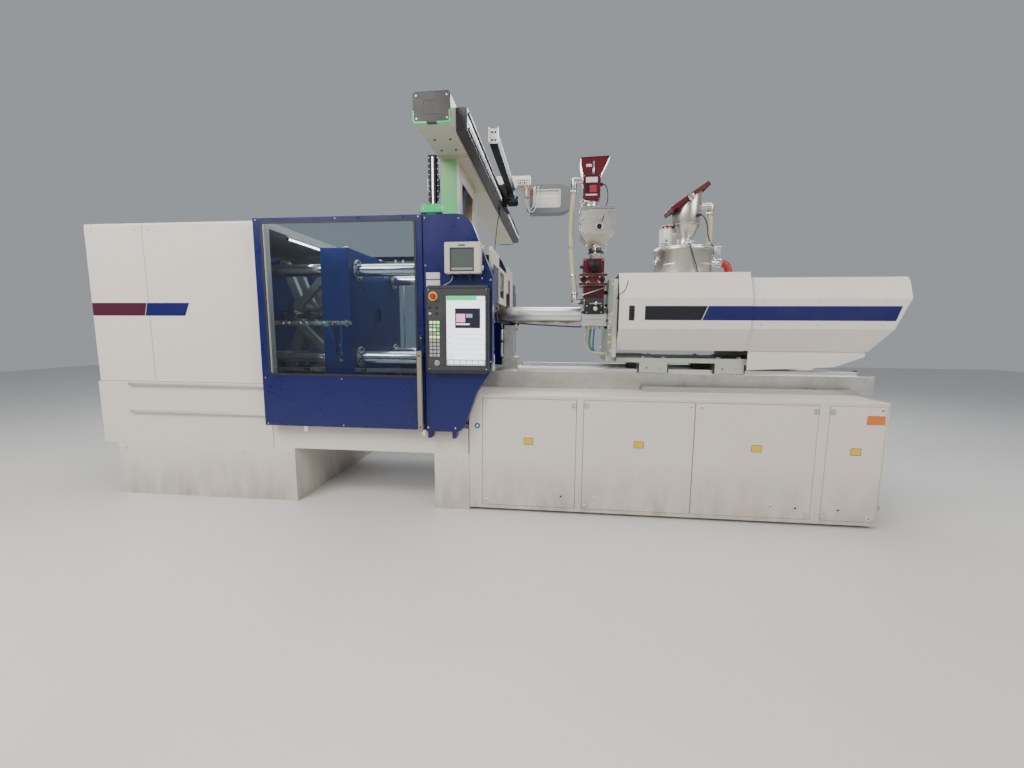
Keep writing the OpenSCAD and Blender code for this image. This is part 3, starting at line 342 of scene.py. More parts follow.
# ------------------------------------------------------------------ mesh building
class Piece:
    """Collects shapes in machine millimetres into one object with several materials."""

    def __init__(self):
        self.bm = bmesh.new()
        self.mats = []

    def _m(self, mat):
        if mat not in self.mats:
            self.mats.append(mat)
        return self.mats.index(mat)

    def poly(self, verts, faces, mat, smooth=False):
        i = self._m(mat)
        vs = [self.bm.verts.new(P(*v)) for v in verts]
        made = []
        for f in faces:
            try:
                q = self.bm.faces.new([vs[k] for k in f])
            except ValueError:
                continue
            q.material_index = i
            q.smooth = smooth
            made.append(q)
        return made

    def box(self, x0, x1, y0, y1, z0, z1, mat):
        v = [(x, y, z) for x in (x0, x1) for y in (y0, y1) for z in (z0, z1)]
        self.poly(v, [(0, 1, 3, 2), (4, 6, 7, 5), (0, 4, 5, 1), (2, 3, 7, 6), (0, 2, 6, 4), (1, 5, 7, 3)], mat)

    def prism(self, pts, axis, a0, a1, mat):
        """Closed outline pts in the plane across axis ("x": Y-Z, "y": X-Z, "z": X-Y), from a0 to a1."""
        put = {"x": lambda p, a: (a, p[0], p[1]), "y": lambda p, a: (p[0], a, p[1]), "z": lambda p, a: (p[0], p[1], a)}[axis]
        n = len(pts)
        v = [put(p, a0) for p in pts] + [put(p, a1) for p in pts]
        f = [tuple(range(n)), tuple(range(2 * n - 1, n - 1, -1))] + [(i, i + n, (i + 1) % n + n, (i + 1) % n) for i in range(n)]
        self.poly(v, f, mat)

    def frame(self, outer, inner, axis, a0, a1, mat):
        """Ring between two outlines with the same number of points."""
        put = {"x": lambda p, a: (a, p[0], p[1]), "y": lambda p, a: (p[0], a, p[1]), "z": lambda p, a: (p[0], p[1], a)}[axis]
        n = len(outer)
        v = [put(p, a0) for p in outer] + [put(p, a0) for p in inner] + [put(p, a1) for p in outer] + [put(p, a1) for p in inner]
        f = []
        for i in range(n):
            j = (i + 1) % n
            f += [(i, j, j + n, i + n), (i + 2 * n, i + 3 * n, j + 3 * n, j + 2 * n), (i, i + 2 * n, j + 2 * n, j), (i + n, j + n, j + 3 * n, i + 3 * n)]
        self.poly(v, f, mat)

    def lathe(self, c, axis, profile, mat, n=32, cap=True):
        """Turned shape about an axis through c: profile is a list of (distance along axis, radius)."""
        a = Vector(axis).normalized()
        u = a.orthogonal().normalized()
        w = a.cross(u)
        c = Vector(c)
        vs, fs = [], []
        for d, r in profile:
            for k in range(n):
                t = 2 * math.pi * k / n
                vs.append(tuple(c + a * d + (u * math.cos(t) + w * math.sin(t)) * r))
        m = len(profile)
        for i in range(m - 1):
            for k in range(n):
                fs.append((i * n + k, i * n + (k + 1) % n, (i + 1) * n + (k + 1) % n, (i + 1) * n + k))
        self.poly(vs, fs, mat, smooth=True)
        if cap:
            self.poly([vs[k] for k in range(n)], [tuple(range(n))[::-1]], mat)
            self.poly([vs[(m - 1) * n + k] for k in range(n)], [tuple(range(n))], mat)

    def cyl(self, a, b, r, mat, n=24, edge=None):
        a, b = Vector(a), Vector(b)
        h = (b - a).length
        e = min(r * 0.15, h * 0.2, 1.5) if edge is None else edge
        prof = [(0, r - e), (e, r), (h - e, r), (h, r - e)] if e > 0 else [(0, r), (h, r)]
        self.lathe(a, b - a, prof, mat, n)

    def ball(self, c, r, mat, n=24, squash=1.0, axis=(0, 0, 1)):
        prof = []
        k = max(6, n // 2)
        for i in range(1, k):
            t = math.pi * i / k
            prof.append((-math.cos(t) * r * squash, math.sin(t) * r))
        self.lathe(c, axis, prof, mat, n)

    def hexa(self, c, axis, r, h, mat):
        self.lathe(c, axis, [(0, r), (h * 0.8, r), (h, r * 0.86)], mat, 6)

    def torus(self, c, axis, R, r, mat, n=36, k=10):
        a = Vector(axis).normalized()
        u = a.orthogonal().normalized()
        w = a.cross(u)
        c = Vector(c)
        vs, fs = [], []
        for i in range(n):
            t = 2 * math.pi * i / n
            d = u * math.cos(t) + w * math.sin(t)
            for j in range(k):
                s = 2 * math.pi * j / k
                vs.append(tuple(c + d * (R + r * math.cos(s)) + a * (r * math.sin(s))))
        for i in range(n):
            for j in range(k):
                fs.append((i * k + j, ((i + 1) % n) * k + j, ((i + 1) % n) * k + (j + 1) % k, i * k + (j + 1) % k))
        self.poly(vs, fs, mat, smooth=True)

    def rod(self, pts, r, mat, n=12):
        """Bent rod or rigid pipe through the points, with round corners from spline samples."""
        pts = smooth_line(pts, 6)
        vs, fs = [], []
        u = None
        for i, p in enumerate(pts):
            t = (pts[min(i + 1, len(pts) - 1)] - pts[max(i - 1, 0)]).normalized()
            u = t.orthogonal().normalized() if u is None else (u - t * u.dot(t)).normalized()
            w = t.cross(u)
            for k in range(n):
                a = 2 * math.pi * k / n
                vs.append(tuple(p + (u * math.cos(a) + w * math.sin(a)) * r))
        for i in range(len(pts) - 1):
            for k in range(n):
                fs.append((i * n + k, i * n + (k + 1) % n, (i + 1) * n + (k + 1) % n, (i + 1) * n + k))
        self.poly(vs, fs, mat, smooth=True)
        self.poly(vs[:n], [tuple(range(n))[::-1]], mat)
        self.poly(vs[-n:], [tuple(range(n))], mat)

    def done(self, name, body, bevel=0.0012, seg=2, angle=35):
        bmesh.ops.recalc_face_normals(self.bm, faces=self.bm.faces)
        me = bpy.data.meshes.new(name)
        self.bm.to_mesh(me)
        self.bm.free()
        for k in self.mats:
            me.materials.append(M[k])
        o = bpy.data.objects.new(name, me)
        bpy.context.scene.collection.objects.link(o)
        if bevel:
            b = o.modifiers.new("edges", "BEVEL")
            b.width, b.segments, b.limit_method, b.angle_limit = bevel, seg, "ANGLE", math.radians(angle)
            b.harden_normals = False
            b.use_clamp_overlap = True
        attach(o, body)
        return o


def smooth_line(pts, sub):
    """Catmull-Rom samples through the points."""
    pts = [Vector(p) for p in pts]
    ext = [pts[0] * 2 - pts[1]] + pts + [pts[-1] * 2 - pts[-2]]
    out = []
    for i in range(1, len(ext) - 2):
        a, b, c, d = ext[i - 1], ext[i], ext[i + 1], ext[i + 2]
        for k in range(sub):
            t = k / sub
            out.append(0.5 * ((2 * b) + (c - a) * t + (2 * a - 5 * b + 4 * c - d) * t * t + (3 * b - a - 3 * c + d) * t ** 3))
    out.append(pts[-1])
    return out


def rr(x0, x1, z0, z1, r, n=5):
    """Rounded rectangle outline."""
    out = []
    for cx, cz, a0 in ((x1 - r, z1 - r, 0), (x0 + r, z1 - r, 90), (x0 + r, z0 + r, 180), (x1 - r, z0 + r, 270)):
        for i in range(n + 1):
            a = math.radians(a0 + 90 * i / n)
            out.append((cx + r * math.cos(a), cz + r * math.sin(a)))
    return out


CORDS = []


def relaxed(line, rounds, hold=3, ramp=7):
    """Opens tight bends: each inner point moves toward the middle of its neighbours, less so near the ends."""
    # even spacing first
    run = [0.0]
    for a, b in zip(line, line[1:]):
        run.append(run[-1] + (b - a).length)
    n = max(len(line), int(run[-1] / 0.006))
    out, j = [], 0
    for i in range(n + 1):
        t = run[-1] * i / n
        while j < len(run) - 2 and run[j + 1] < t:
            j += 1
        f = (t - run[j]) / max(run[j + 1] - run[j], 1e-9)
        out.append(line[j].lerp(line[j + 1], min(max(f, 0.0), 1.0)))
    for _ in range(rounds):
        new = list(out)
        for i in range(1, n):
            w = min(max(min(i, n - i) - hold, 0) / ramp, 1.0) * 0.5
            new[i] = out[i].lerp((out[i - 1] + out[i + 1]) / 2, w)
        out = new
    return out


def cord(name, pts, dia, mat, body, replaces=None, relax=0):
    """A hose or cable through the points (machine mm); its length, measured along the line, goes into CORDS."""
    line = [P(*p) for p in smooth_line(pts, 8)]
    if relax:
        line = relaxed(line, relax)
    cu = bpy.data.curves.new(name, "CURVE")
    cu.dimensions = "3D"
    sp = cu.splines.new("POLY")
    sp.points.add(len(line) - 1)
    for q, p in zip(sp.points, line):
        q.co = (*p, 1.0)
    cu.bevel_depth = dia / 2000.0
    cu.bevel_resolution = 5
    cu.use_fill_caps = True
    cu.materials.append(M[mat])
    o = bpy.data.objects.new(name, cu)
    bpy.context.scene.collection.objects.link(o)
    length = sum((b - a).length for a, b in zip(line, line[1:]))
    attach(o, body)
    if replaces:
        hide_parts(replaces)
    CORDS.append((name, round(length, 3), dia))
    return o


# ------------------------------------------------------------------ CAD nodes: materials and edges
def kick_material():
    m = Mat("kick_white_to_grey")
    t = m.grade(m.axis(0), 0.423, 0.425)
    cloud = m.noise(2.0, 4.0)
    a = m.mix(cloud, (0.74, 0.74, 0.72), (0.80, 0.80, 0.79))
    b = m.mix(cloud, (0.16, 0.165, 0.17), (0.19, 0.195, 0.20))
    m.to("Base Color", m.mix(t, a, b))
    m.to("Roughness", m.ramp(m.noise(8.0, 4.0), [(0.2, 0.30), (0.8, 0.44)]))
    m.bump(m.noise(500.0, 2.0), 0.05, 0.0005)
    return m.m


M["kick"] = kick_material()


def beam_material():
    """Beige beam, dark drive housing beside it and bright rails, told apart by their distance along X."""
    m = Mat("beam_beige_dark_and_rails")
    dark = m.grade(m.axis(0), 0.0400, 0.0402)
    bright = m.grade(m.axis(0), 0.1195, 0.1197)
    cloud = m.noise(2.0, 4.0)
    a = m.mix(cloud, (0.54, 0.51, 0.41), (0.60, 0.57, 0.46))
    b = m.mix(cloud, (0.030, 0.031, 0.034), (0.045, 0.046, 0.050))
    c = m.mix(cloud, (0.10, 0.10, 0.105), (0.14, 0.14, 0.145))
    m.to("Base Color", m.mix(bright, m.mix(dark, a, b), c))
    m.to("Metallic", bright)
    m.to("Roughness", m.ramp(m.noise(8.0, 4.0), [(0.2, 0.30), (0.8, 0.42)]))
    m.bump(m.noise(420.0, 2.0), 0.06, 0.0005)
    return m.m


M["beam"] = beam_material()


def feed_material(name, pipe, foot, foot_colour, foot_metal):
    """Wine red housing with a steel hose elbow at its left and a foot of another finish."""
    m = Mat(name)
    left = m.math("SUBTRACT", 1.0, m.grade(m.axis(0), pipe, pipe + 0.0004))
    low = m.math("SUBTRACT", 1.0, m.grade(m.axis(2), foot, foot + 0.0004))
    cloud = m.noise(3.0, 4.0)
    a = m.mix(cloud, (0.066, 0.003, 0.008), (0.085, 0.004, 0.010))
    b = m.mix(cloud, (0.56, 0.56, 0.54), (0.66, 0.66, 0.64))
    c = m.mix(cloud, shade(foot_colour, 0.92), shade(foot_colour, 1.08))
    m.to("Base Color", m.mix(left, m.mix(low, a, c), b))
    m.to("Metallic", m.math("MAXIMUM", left, m.math("MULTIPLY", low, foot_metal)))
    m.to("Roughness", m.ramp(m.noise(9.0, 4.0), [(0.2, 0.20), (0.8, 0.34)]))
    m.bump(m.noise(300.0, 2.0), 0.05, 0.0005)
    return m.m


M["loader_wine"] = feed_material("loader_wine_red_steel_foot", 0.949, 2.4015, (0.62, 0.61, 0.57), 1.0)
M["doser_wine"] = feed_material("doser_wine_red_dark_foot", 0.9345, 1.6148, (0.05, 0.048, 0.045), 0.0)
NODE_MAT = {
    "clamp_frame": "cream", "lower_cover": "cream", "clamp_cover": "hood", "door_rails": "rail", "safety_door": "blue",
    "door_glass": "glass", "door_handle": "handle", "hmi_cover": "blue", "control_panel": "bezel", "touch_screen": "screen_white",
    "e_stop": "red", "key_switch": "steel_z", "aux_display": "beige", "signal_lamp": "lamp", "rear_door": "blue", "rear_glass": "glass",
    "rear_fixed_cover": "blue", "end_guard": "cream", "purge_guard": "cream", "fixed_platen": "casting", "moving_platen": "casting",
    "end_platen": "casting", "tie_bars": "chrome", "crosshead": "steel_z", "clamp_screw": "steel", "rear_link_upper": "grey_cast",
    "rear_link_lower": "grey_cast", "front_link_upper": "grey_cast", "front_link_lower": "grey_cast", "ejector": "steel",
    "base_frame": "cream", "base_door_1": "cream", "base_door_2": "cream", "base_door_3": "cream", "base_door_4": "cream",
    "injection_bed": "bed", "injection_rails": "rail", "injection_carriage": "green_plate", "barrel": "barrel",
    "plasticizing_screw": "steel", "barrel_guard": "guard", "sliding_cover": "cover", "rear_cover": "cover", "drive_plate": "grey_cast",
    "feed_hopper": "stainless", "hopper_loader": "loader_wine", "loader_head": "wine", "feed_doser": "doser_wine", "slide_gate": "chrome",
    "loader_hoses": "hose", "drum_hopper": "stainless", "drum_loader": "stainless", "loader_lid": "wine", "robot_post": "robot",
    "robot_beam": "beam", "robot_carriage": "anodised", "robot_kick": "kick", "robot_arm": "anodised", "robot_arm_inner": "anodised",
    "robot_wrist": "steel_z",
}
SMALL = {"e_stop", "key_switch", "slide_gate", "robot_wrist", "clamp_screw", "plasticizing_screw", "barrel", "barrel_guard", "door_rails", "injection_rails"}
NO_EDGE = {"door_glass", "rear_glass", "loader_hoses", "touch_screen"}
for name, o in NODES.items():
    o.data.materials.clear()
    o.data.materials.append(M[NODE_MAT[name]])
    for p in o.data.polygons:
        p.material_index = 0
    if name not in NO_EDGE:
        w = o.modifiers.new("weld", "WELD")
        w.merge_threshold = 0.00002
        b = o.modifiers.new("edges", "BEVEL")
        b.width = 0.0008 if name in SMALL else 0.0022
        b.segments = 2
        b.limit_method = "ANGLE"
        b.angle_limit = math.radians(40)
        b.use_clamp_overlap = True
        b.harden_normals = False
ROOT = "machine_frame"
W_ = W


def both_sides(fn):
    """Runs fn(y) for the operator side and the far side, where y maps a depth from the front face."""
    fn(lambda y: y)
    fn(lambda y: W_ - y)


# ------------------------------------------------------------------ clamp hood and lower covers
def hood_details():
    p = Piece()
    z0, z1 = 1435, 1533
    p.prism([(2, z0), (450, z0), (474, z1), (2, z1)], "y", 16.6, 18.4, "maroon")
    p.prism([(450, z0), (454, z0), (478, z1), (474, z1)], "y", 16.8, 18.4, "plate")
    p.prism([(454, z0), (792, z0), (834, z1), (478, z1)], "y", 16.6, 18.4, "stripe")
    p.prism([(463.5, z0), (792, z0), (834, z1), (463.5, z1)], "y", W - 18.4, W - 16.6, "stripe")
    p.prism([(2, z0), (462, z0), (462, z1), (2, z1)], "y", W - 18.4, W - 16.6, "maroon")
    p.done("hood_stripes", ROOT, 0.0004, 1)
    p = Piece()
    for y0, y1 in ((17.4, 18.6), (W - 18.6, W - 17.4)):
        p.box(489, 491.2, y0, y1, seam_z + 6, 2108, "gasket")
        p.box(1440, 1442, y0, y1, seam_z + 6, 2108, "gasket")
    p.box(489, 491.2, 40, W - 40, 2130.4, 2131.8, "gasket")
    p.box(1440, 1442, 40, W - 40, 2130.4, 2131.8, "gasket")
    p.done("hood_panel_joints", ROOT, 0)
    p = Piece()
    for y, d in ((18, -1), (W - 18, 1)):
        for z in (1160, 1690):
            p.lathe((1418, y, z), (0, d, 0), [(0, 14), (2.2, 14), (3.2, 12.6), (3.2, 9)], "chrome", 32)
            p.box(1416.6, 1419.4, min(y + d * 3.0, y + d * 4.0), max(y + d * 3.0, y + d * 4.0), z - 6, z + 6, "black")
        for x in (60, 430, 550, 960, 1370):
            for z in (950, 2080):
                p.lathe((x, y, z), (0, d, 0), [(0, 6.5), (1.6, 6.5), (2.6, 4.6)], "steel_z", 20)
    for y in (90, 500, 1020, 1430):
        for x in (60, 430, 550, 1370):
            p.lathe((x, y, hood_h), (0, 0, 1), [(0, 6.5), (1.6, 6.5), (2.6, 4.6)], "steel_z", 20)
    p.done("hood_fasteners", ROOT, 0.0003, 1)
    # lifting eyes, grille frame of the left end, rear cable entry
    p = Piece()
    p.frame(rr(1030, 1370, 1060, 1380, 12), rr(1046, 1354, 1076, 1364, 8), "x", -3.0, 0.2, "black_paint")
    for i in range(11):
        z = 1092 + i * 24
        p.poly([(-2.6, 1048, z + 4), (-2.6, 1352, z + 4), (2.5, 1352, z + 12), (2.5, 1048, z + 12), (-1.6, 1048, z + 3), (-1.6, 1352, z + 3), (3.5, 1352, z + 11), (3.5, 1048, z + 11)],
               [(0, 1, 2, 3), (7, 6, 5, 4), (0, 4, 5, 1), (2, 6, 7, 3), (1, 5, 6, 2), (0, 3, 7, 4)], "black_paint")
    p.frame(rr(250, 560, 1060, 1380, 12), rr(262, 548, 1072, 1368, 8), "x", -2.0, 0.2, "cream")
    for z in (1150, 1290):
        p.cyl((-0.5, 300, z), (-14, 300, z), 9, "black", 24)
        p.box(-16, -10, 292, 308, z - 30, z + 30, "black")
    p.done("hood_end_details", ROOT, 0.0008)


seam_z, hood_h = 918, 2131
hood_details()


def lower_details():
    p = Piece()
    for y, d in ((0, -1), (W, 1)):
        for x in (60, 500, 980, 1400):
            for z in (450, 890):
                p.lathe((x, y, z), (0, d, 0), [(0, 6), (1.5, 6), (2.4, 4.2)], "steel_z", 20)
        for x in (190, 700, 1220, 1580):
            p.lathe((x, y, 60), (0, d, 0), [(0, 8), (3, 8), (4, 6)], "steel_z", 6)
            p.lathe((x, y, 380), (0, d, 0), [(0, 8), (3, 8), (4, 6)], "steel_z", 6)
        for x in (2790, 2960):
            for z in (60, 380):
                p.lathe((x, y, z), (0, d, 0), [(0, 8), (3, 8), (4, 6)], "steel_z", 6)
    p.done("pedestal_bolts", ROOT, 0.0003, 1)
    p = Piece()
    for y0, y1 in ((-26, -4), (W + 4, W + 26)):
        for z in (903, 685):
            p.box(284, 292, y0, y1, z - 12, z + 12, "steel_z")
            p.box(2688, 2696, y0, y1, z - 12, z + 12, "steel_z")
    p.done("rail_end_stops", ROOT, 0.002)
    p = Piece()
    for y in (12, W - 12):
        d = 1 if y < 100 else -1
        for x in (200, 1550):
            p.cyl((x, y + d * 43, 12), (x, y + d * 43, 22), 19, "steel_z", 6)
            p.cyl((x, y + d * 43, 22), (x, y + d * 43, 46), 9.5, "steel_z", 20)
    p.done("anchor_nuts", ROOT, 0.0006)


lower_details()


# ------------------------------------------------------------------ sliding doors
def door_details(rear):
    s = (lambda a: W - a) if rear else (lambda a: a)
    body = "rear_door" if rear else "safety_door"
    y = sorted((s(-83.5), s(-79.6)))
    p = Piece()
    p.frame(rr(1522, 2663, 999, 2093, 26), rr(1538, 2647, 1015, 2077, 14), "y", y[0], y[1], "gasket")
    p.done(body + "_gasket", body, 0.0012)
    p = Piece()
    yy = sorted((s(-80.8), s(-79.9)))
    for z in (652, 966):
        p.box(1478, 2692, yy[0], yy[1], z - 1, z + 1, "gasket")
    for x in (1490, 2084, 2680):
        for z in (636, 980, 2106):
            a = Vector((x, s(-80), z))
            p.lathe(a, (0, 1 if rear else -1, 0), [(0, 5), (1.4, 5), (2.2, 3.6)], "steel_z", 18)
    for x in (1576, 2536):
        for z in (903, 685):
            yr = sorted((s(-24), s(-12)))
            p.lathe((x + 30, yr[0], z + 22), (0, 1, 0), [(0, 12.5), (1, 13.5), (11, 13.5), (12, 12.5)], "steel_z", 32)
    p.done(body + "_rollers", body, 0.0003, 1)
    p = Piece()
    x0, x1 = 2664, 2698
    z0, z1 = (800, 1192) if rear else (617, 1192)
    ya = sorted((s(-125), s(-129)))
    p.prism(rr(x0 + 2, x1 - 2, z0 + 6, z1 - 6, 12), "y", ya[0], ya[1], "handle")
    for z in (z0 + 34, z1 - 34):
        p.lathe((2681, s(-129), z), (0, 1 if rear else -1, 0), [(0, 7), (1.2, 7), (2, 5.5)], "black", 24)
    p.done(body + "_handle_front", body, 0.003, 3)
    p = Piece()
    yb = sorted((s(-80), s(-88)))
    p.prism(rr(2676, 2694, 1230, 1300, 6), "y", yb[0], yb[1], "black")
    p.lathe((2685, s(-88), 1282), (0, 1 if rear else -1, 0), [(0, 6), (2, 6), (3, 5)], "chrome", 24)
    p.done(body + "_lock", body, 0.001)


door_details(False)
door_details(True)


# ------------------------------------------------------------------ operator panel
def panel_details():
    p = Piece()
    p.frame(rr(2746, 3172, 1059, 1623, 12), rr(2752, 3166, 1065, 1617, 9), "y", -141.4, -139.6, "black")
    p.frame(rr(2878, 3158, 1091, 1574, 6), rr(2884, 3152, 1097, 1568, 3), "y", -141.6, -138.6, "black")
    p.box(2862, 2864, -140.8, -139.8, 1075, 1607, "black")
    for x in (2760, 3160):
        for z in (1072, 1611):
            p.lathe((x, -140, z), (0, -1, 0), [(0, 4.2), (1, 4.2), (1.8, 3)], "steel_z", 18)
    p.prism(rr(2752, 3166, 1627, 1640, 4), "y", -132, -84, "bezel")
    p.prism(rr(2760, 3158, 1041, 1055, 4), "y", -128, -84, "bezel")
    p.done("panel_bezel", ROOT, 0.0008)
    # what the screen shows: plain fields, no writing
    p = Piece()
    y0, y1 = -139.7, -138.9
    p.box(2886, 3152, y0, y1, 1539, 1567, "screen_green")
    p.box(3092, 3151, y0 - 0.3, y1, 1541, 1565, "screen")
    p.box(2886, 2926, y0, y1, 1140, 1537, "screen")
    p.box(2886, 3151, y0, y1, 1098, 1138, "screen_grey")
    for i in range(6):
        p.box(2894 + i * 43, 2930 + i * 43, y0 - 0.3, y1, 1106, 1131, "screen")
    for i in range(9):
        p.box(2891, 2921, y0 - 0.3, y1, 1500 - i * 40, 1524 - i * 40, "screen_white")
    p.box(2944, 3118, y0 - 0.2, y1, 1352, 1486, "screen_dark")
    p.box(2952, 3014, y0 - 0.5, y1, 1392, 1448, "screen_pink")
    p.box(3022, 3064, y0 - 0.5, y1, 1424, 1448, "screen_grey")
    p.box(2952, 3044, y0 - 0.5, y1, 1374, 1383, "screen_white")
    for i in range(5):
        p.box(2944, 3140, y0 - 0.2, y1, 1310 - i * 34, 1312 - i * 34, "screen_grey")
    p.done("screen_fields", ROOT, 0)
    # keypad
    p = Piece()
    p.prism(rr(2756, 2843, 1149, 1406, 5), "y", -138.6, -136.9, "bezel")
    lit = {(0, 0): "key_lit", (1, 0): "key_lit", (2, 0): "key_lit", (1, 1): "key_green", (2, 1): "key_green", (0, 2): "key_lit", (1, 2): "key_lit",
           (2, 3): "key_green", (0, 4): "key_lit", (1, 4): "key_lit", (2, 4): "key_lit"}
    for r in range(10):
        for c in range(3):
            x, z = 2774 + c * 25.5, 1390 - r * 25.0
            p.prism(rr(x - 9.5, x + 9.5, z - 9.0, z + 9.0, 4, 4), "y", -141.6, -138.4, lit.get((c, r), "key"))
            p.prism(rr(x - 5, x + 5, z - 1.0, z + 1.0, 0.9, 3), "y", -142.0, -141.4, "bezel" if (c, r) not in lit else "plate")
    p.done("keypad_keys", ROOT, 0.0009)
    p = Piece()
    p.lathe((2793, -140, 1566), (0, -1, 0), [(0, 31), (4, 31), (7, 28.5), (8.5, 24), (8.5, 20.5), (0, 20.5)], "yellow", 48, cap=False)
    p.lathe((2815, -140, 1112), (0, -1, 0), [(0, 19), (1.2, 19), (2, 17.5), (2, 15.6), (0, 15.6)], "steel_z", 40, cap=False)
    for x, z, k in ((2770, 1490, "black"), (2816, 1490, "black"), (2770, 1450, "key"), (2816, 1450, "black")):
        p.lathe((x, -140, z), (0, -1, 0), [(0, 10), (2, 10), (3.4, 8)], k, 28)
    p.done("panel_collars", ROOT, 0.0006)
    # blank plates and fasteners of the blue cover
    p = Piece()
    p.prism(rr(2729, 2827, 1688, 1732, 4), "y", -81.2, -79.8, "plate")
    p.prism(rr(2729, 2827, 1636, 1681, 4), "y", -81.2, -79.8, "plate")
    p.frame(rr(2733, 2823, 1692, 1728, 3), rr(2734.6, 2821.4, 1693.6, 1726.4, 2), "y", -81.6, -80.6, "cable_grey")
    p.frame(rr(2733, 2823, 1640, 1677, 3), rr(2734.6, 2821.4, 1641.6, 1675.4, 2), "y", -81.6, -80.6, "cable_grey")
    for x, z in ((2724, 2095), (2960, 2090), (2724, 640), (2925, 640), (3178, 1680), (3178, 1120), (2724, 1780), (3085, 1880), (3120, 1690)):
        p.lathe((x, -80, z), (0, -1, 0), [(0, 6), (1.6, 6), (2.6, 4.4)], "chrome", 20)
    p.done("cover_plates", ROOT, 0.0004, 1)
    # small display: bezel, buttons, bracket, hinge
    p = Piece()
    p.frame(rr(2884, 3119, 1722, 1914, 8), rr(2914, 3080, 1728, 1884, 4), "y", -152.6, -149.6, "beige")
    p.frame(rr(2914, 3080, 1728, 1884, 4), rr(2920, 3074, 1734, 1878, 3), "y", -151.6, -148.0, "bezel")
    p.prism(rr(2918, 3076, 1732, 1880, 3), "y", -147.6, -145.9, "lcd")
    p.box(2926, 3068, -148.0, -147.2, 1740, 1753, "cable_grey")
    p.prism(rr(2972, 3020, 1893, 1903, 3), "y", -153.2, -152.2, "bezel")
    for z in (1752, 1884):
        p.cyl((3132, -120, z - 16), (3132, -120, z + 16), 7, "steel_z", 24)
        p.box(3122, 3132, -127, -113, z - 14, z + 14, "steel_z")
    p.box(2950, 3050, -104, -79.8, 1752, 1878, "black_paint")
    for x in (2958, 3042):
        for z in (1760, 1870):
            p.lathe((x, -81, z), (0, -1, 0), [(20, 5), (25, 5), (26, 4)], "steel_z", 6)
    for x in (2925, 2985, 3045):
        p.cyl((x, -120, 1702), (x, -120, 1717), 8.5, "black", 24)
    p.done("small_display", ROOT, 0.0012)
    cord("display_cable_left", [(2925, -120, 1703), (2922, -118, 1685), (2905, -110, 1664), (2880, -104, 1652), (2856, -100, 1641)], 7, "cable_grey", ROOT)
    cord("display_cable_right", [(3045, -120, 1703), (3047, -119, 1685), (3058, -114, 1665), (3078, -108, 1652), (3100, -104, 1641)], 7, "cable", ROOT)
    p = Piece()
    p.prism(rr(2694, 2845, 2127, 2134, 3), "y", -78, -22, "black_paint")
    p.prism(rr(2706, 2833, 2186, 2190, 3), "y", -68, -32, "lamp")
    for x in (2716, 2824):
        p.lathe((x, -74, 2160), (0, -1, 0), [(0, 4), (1.2, 4), (2, 3)], "steel_z", 18)
    p.done("signal_lamp_base", ROOT, 0.0008)


panel_details()


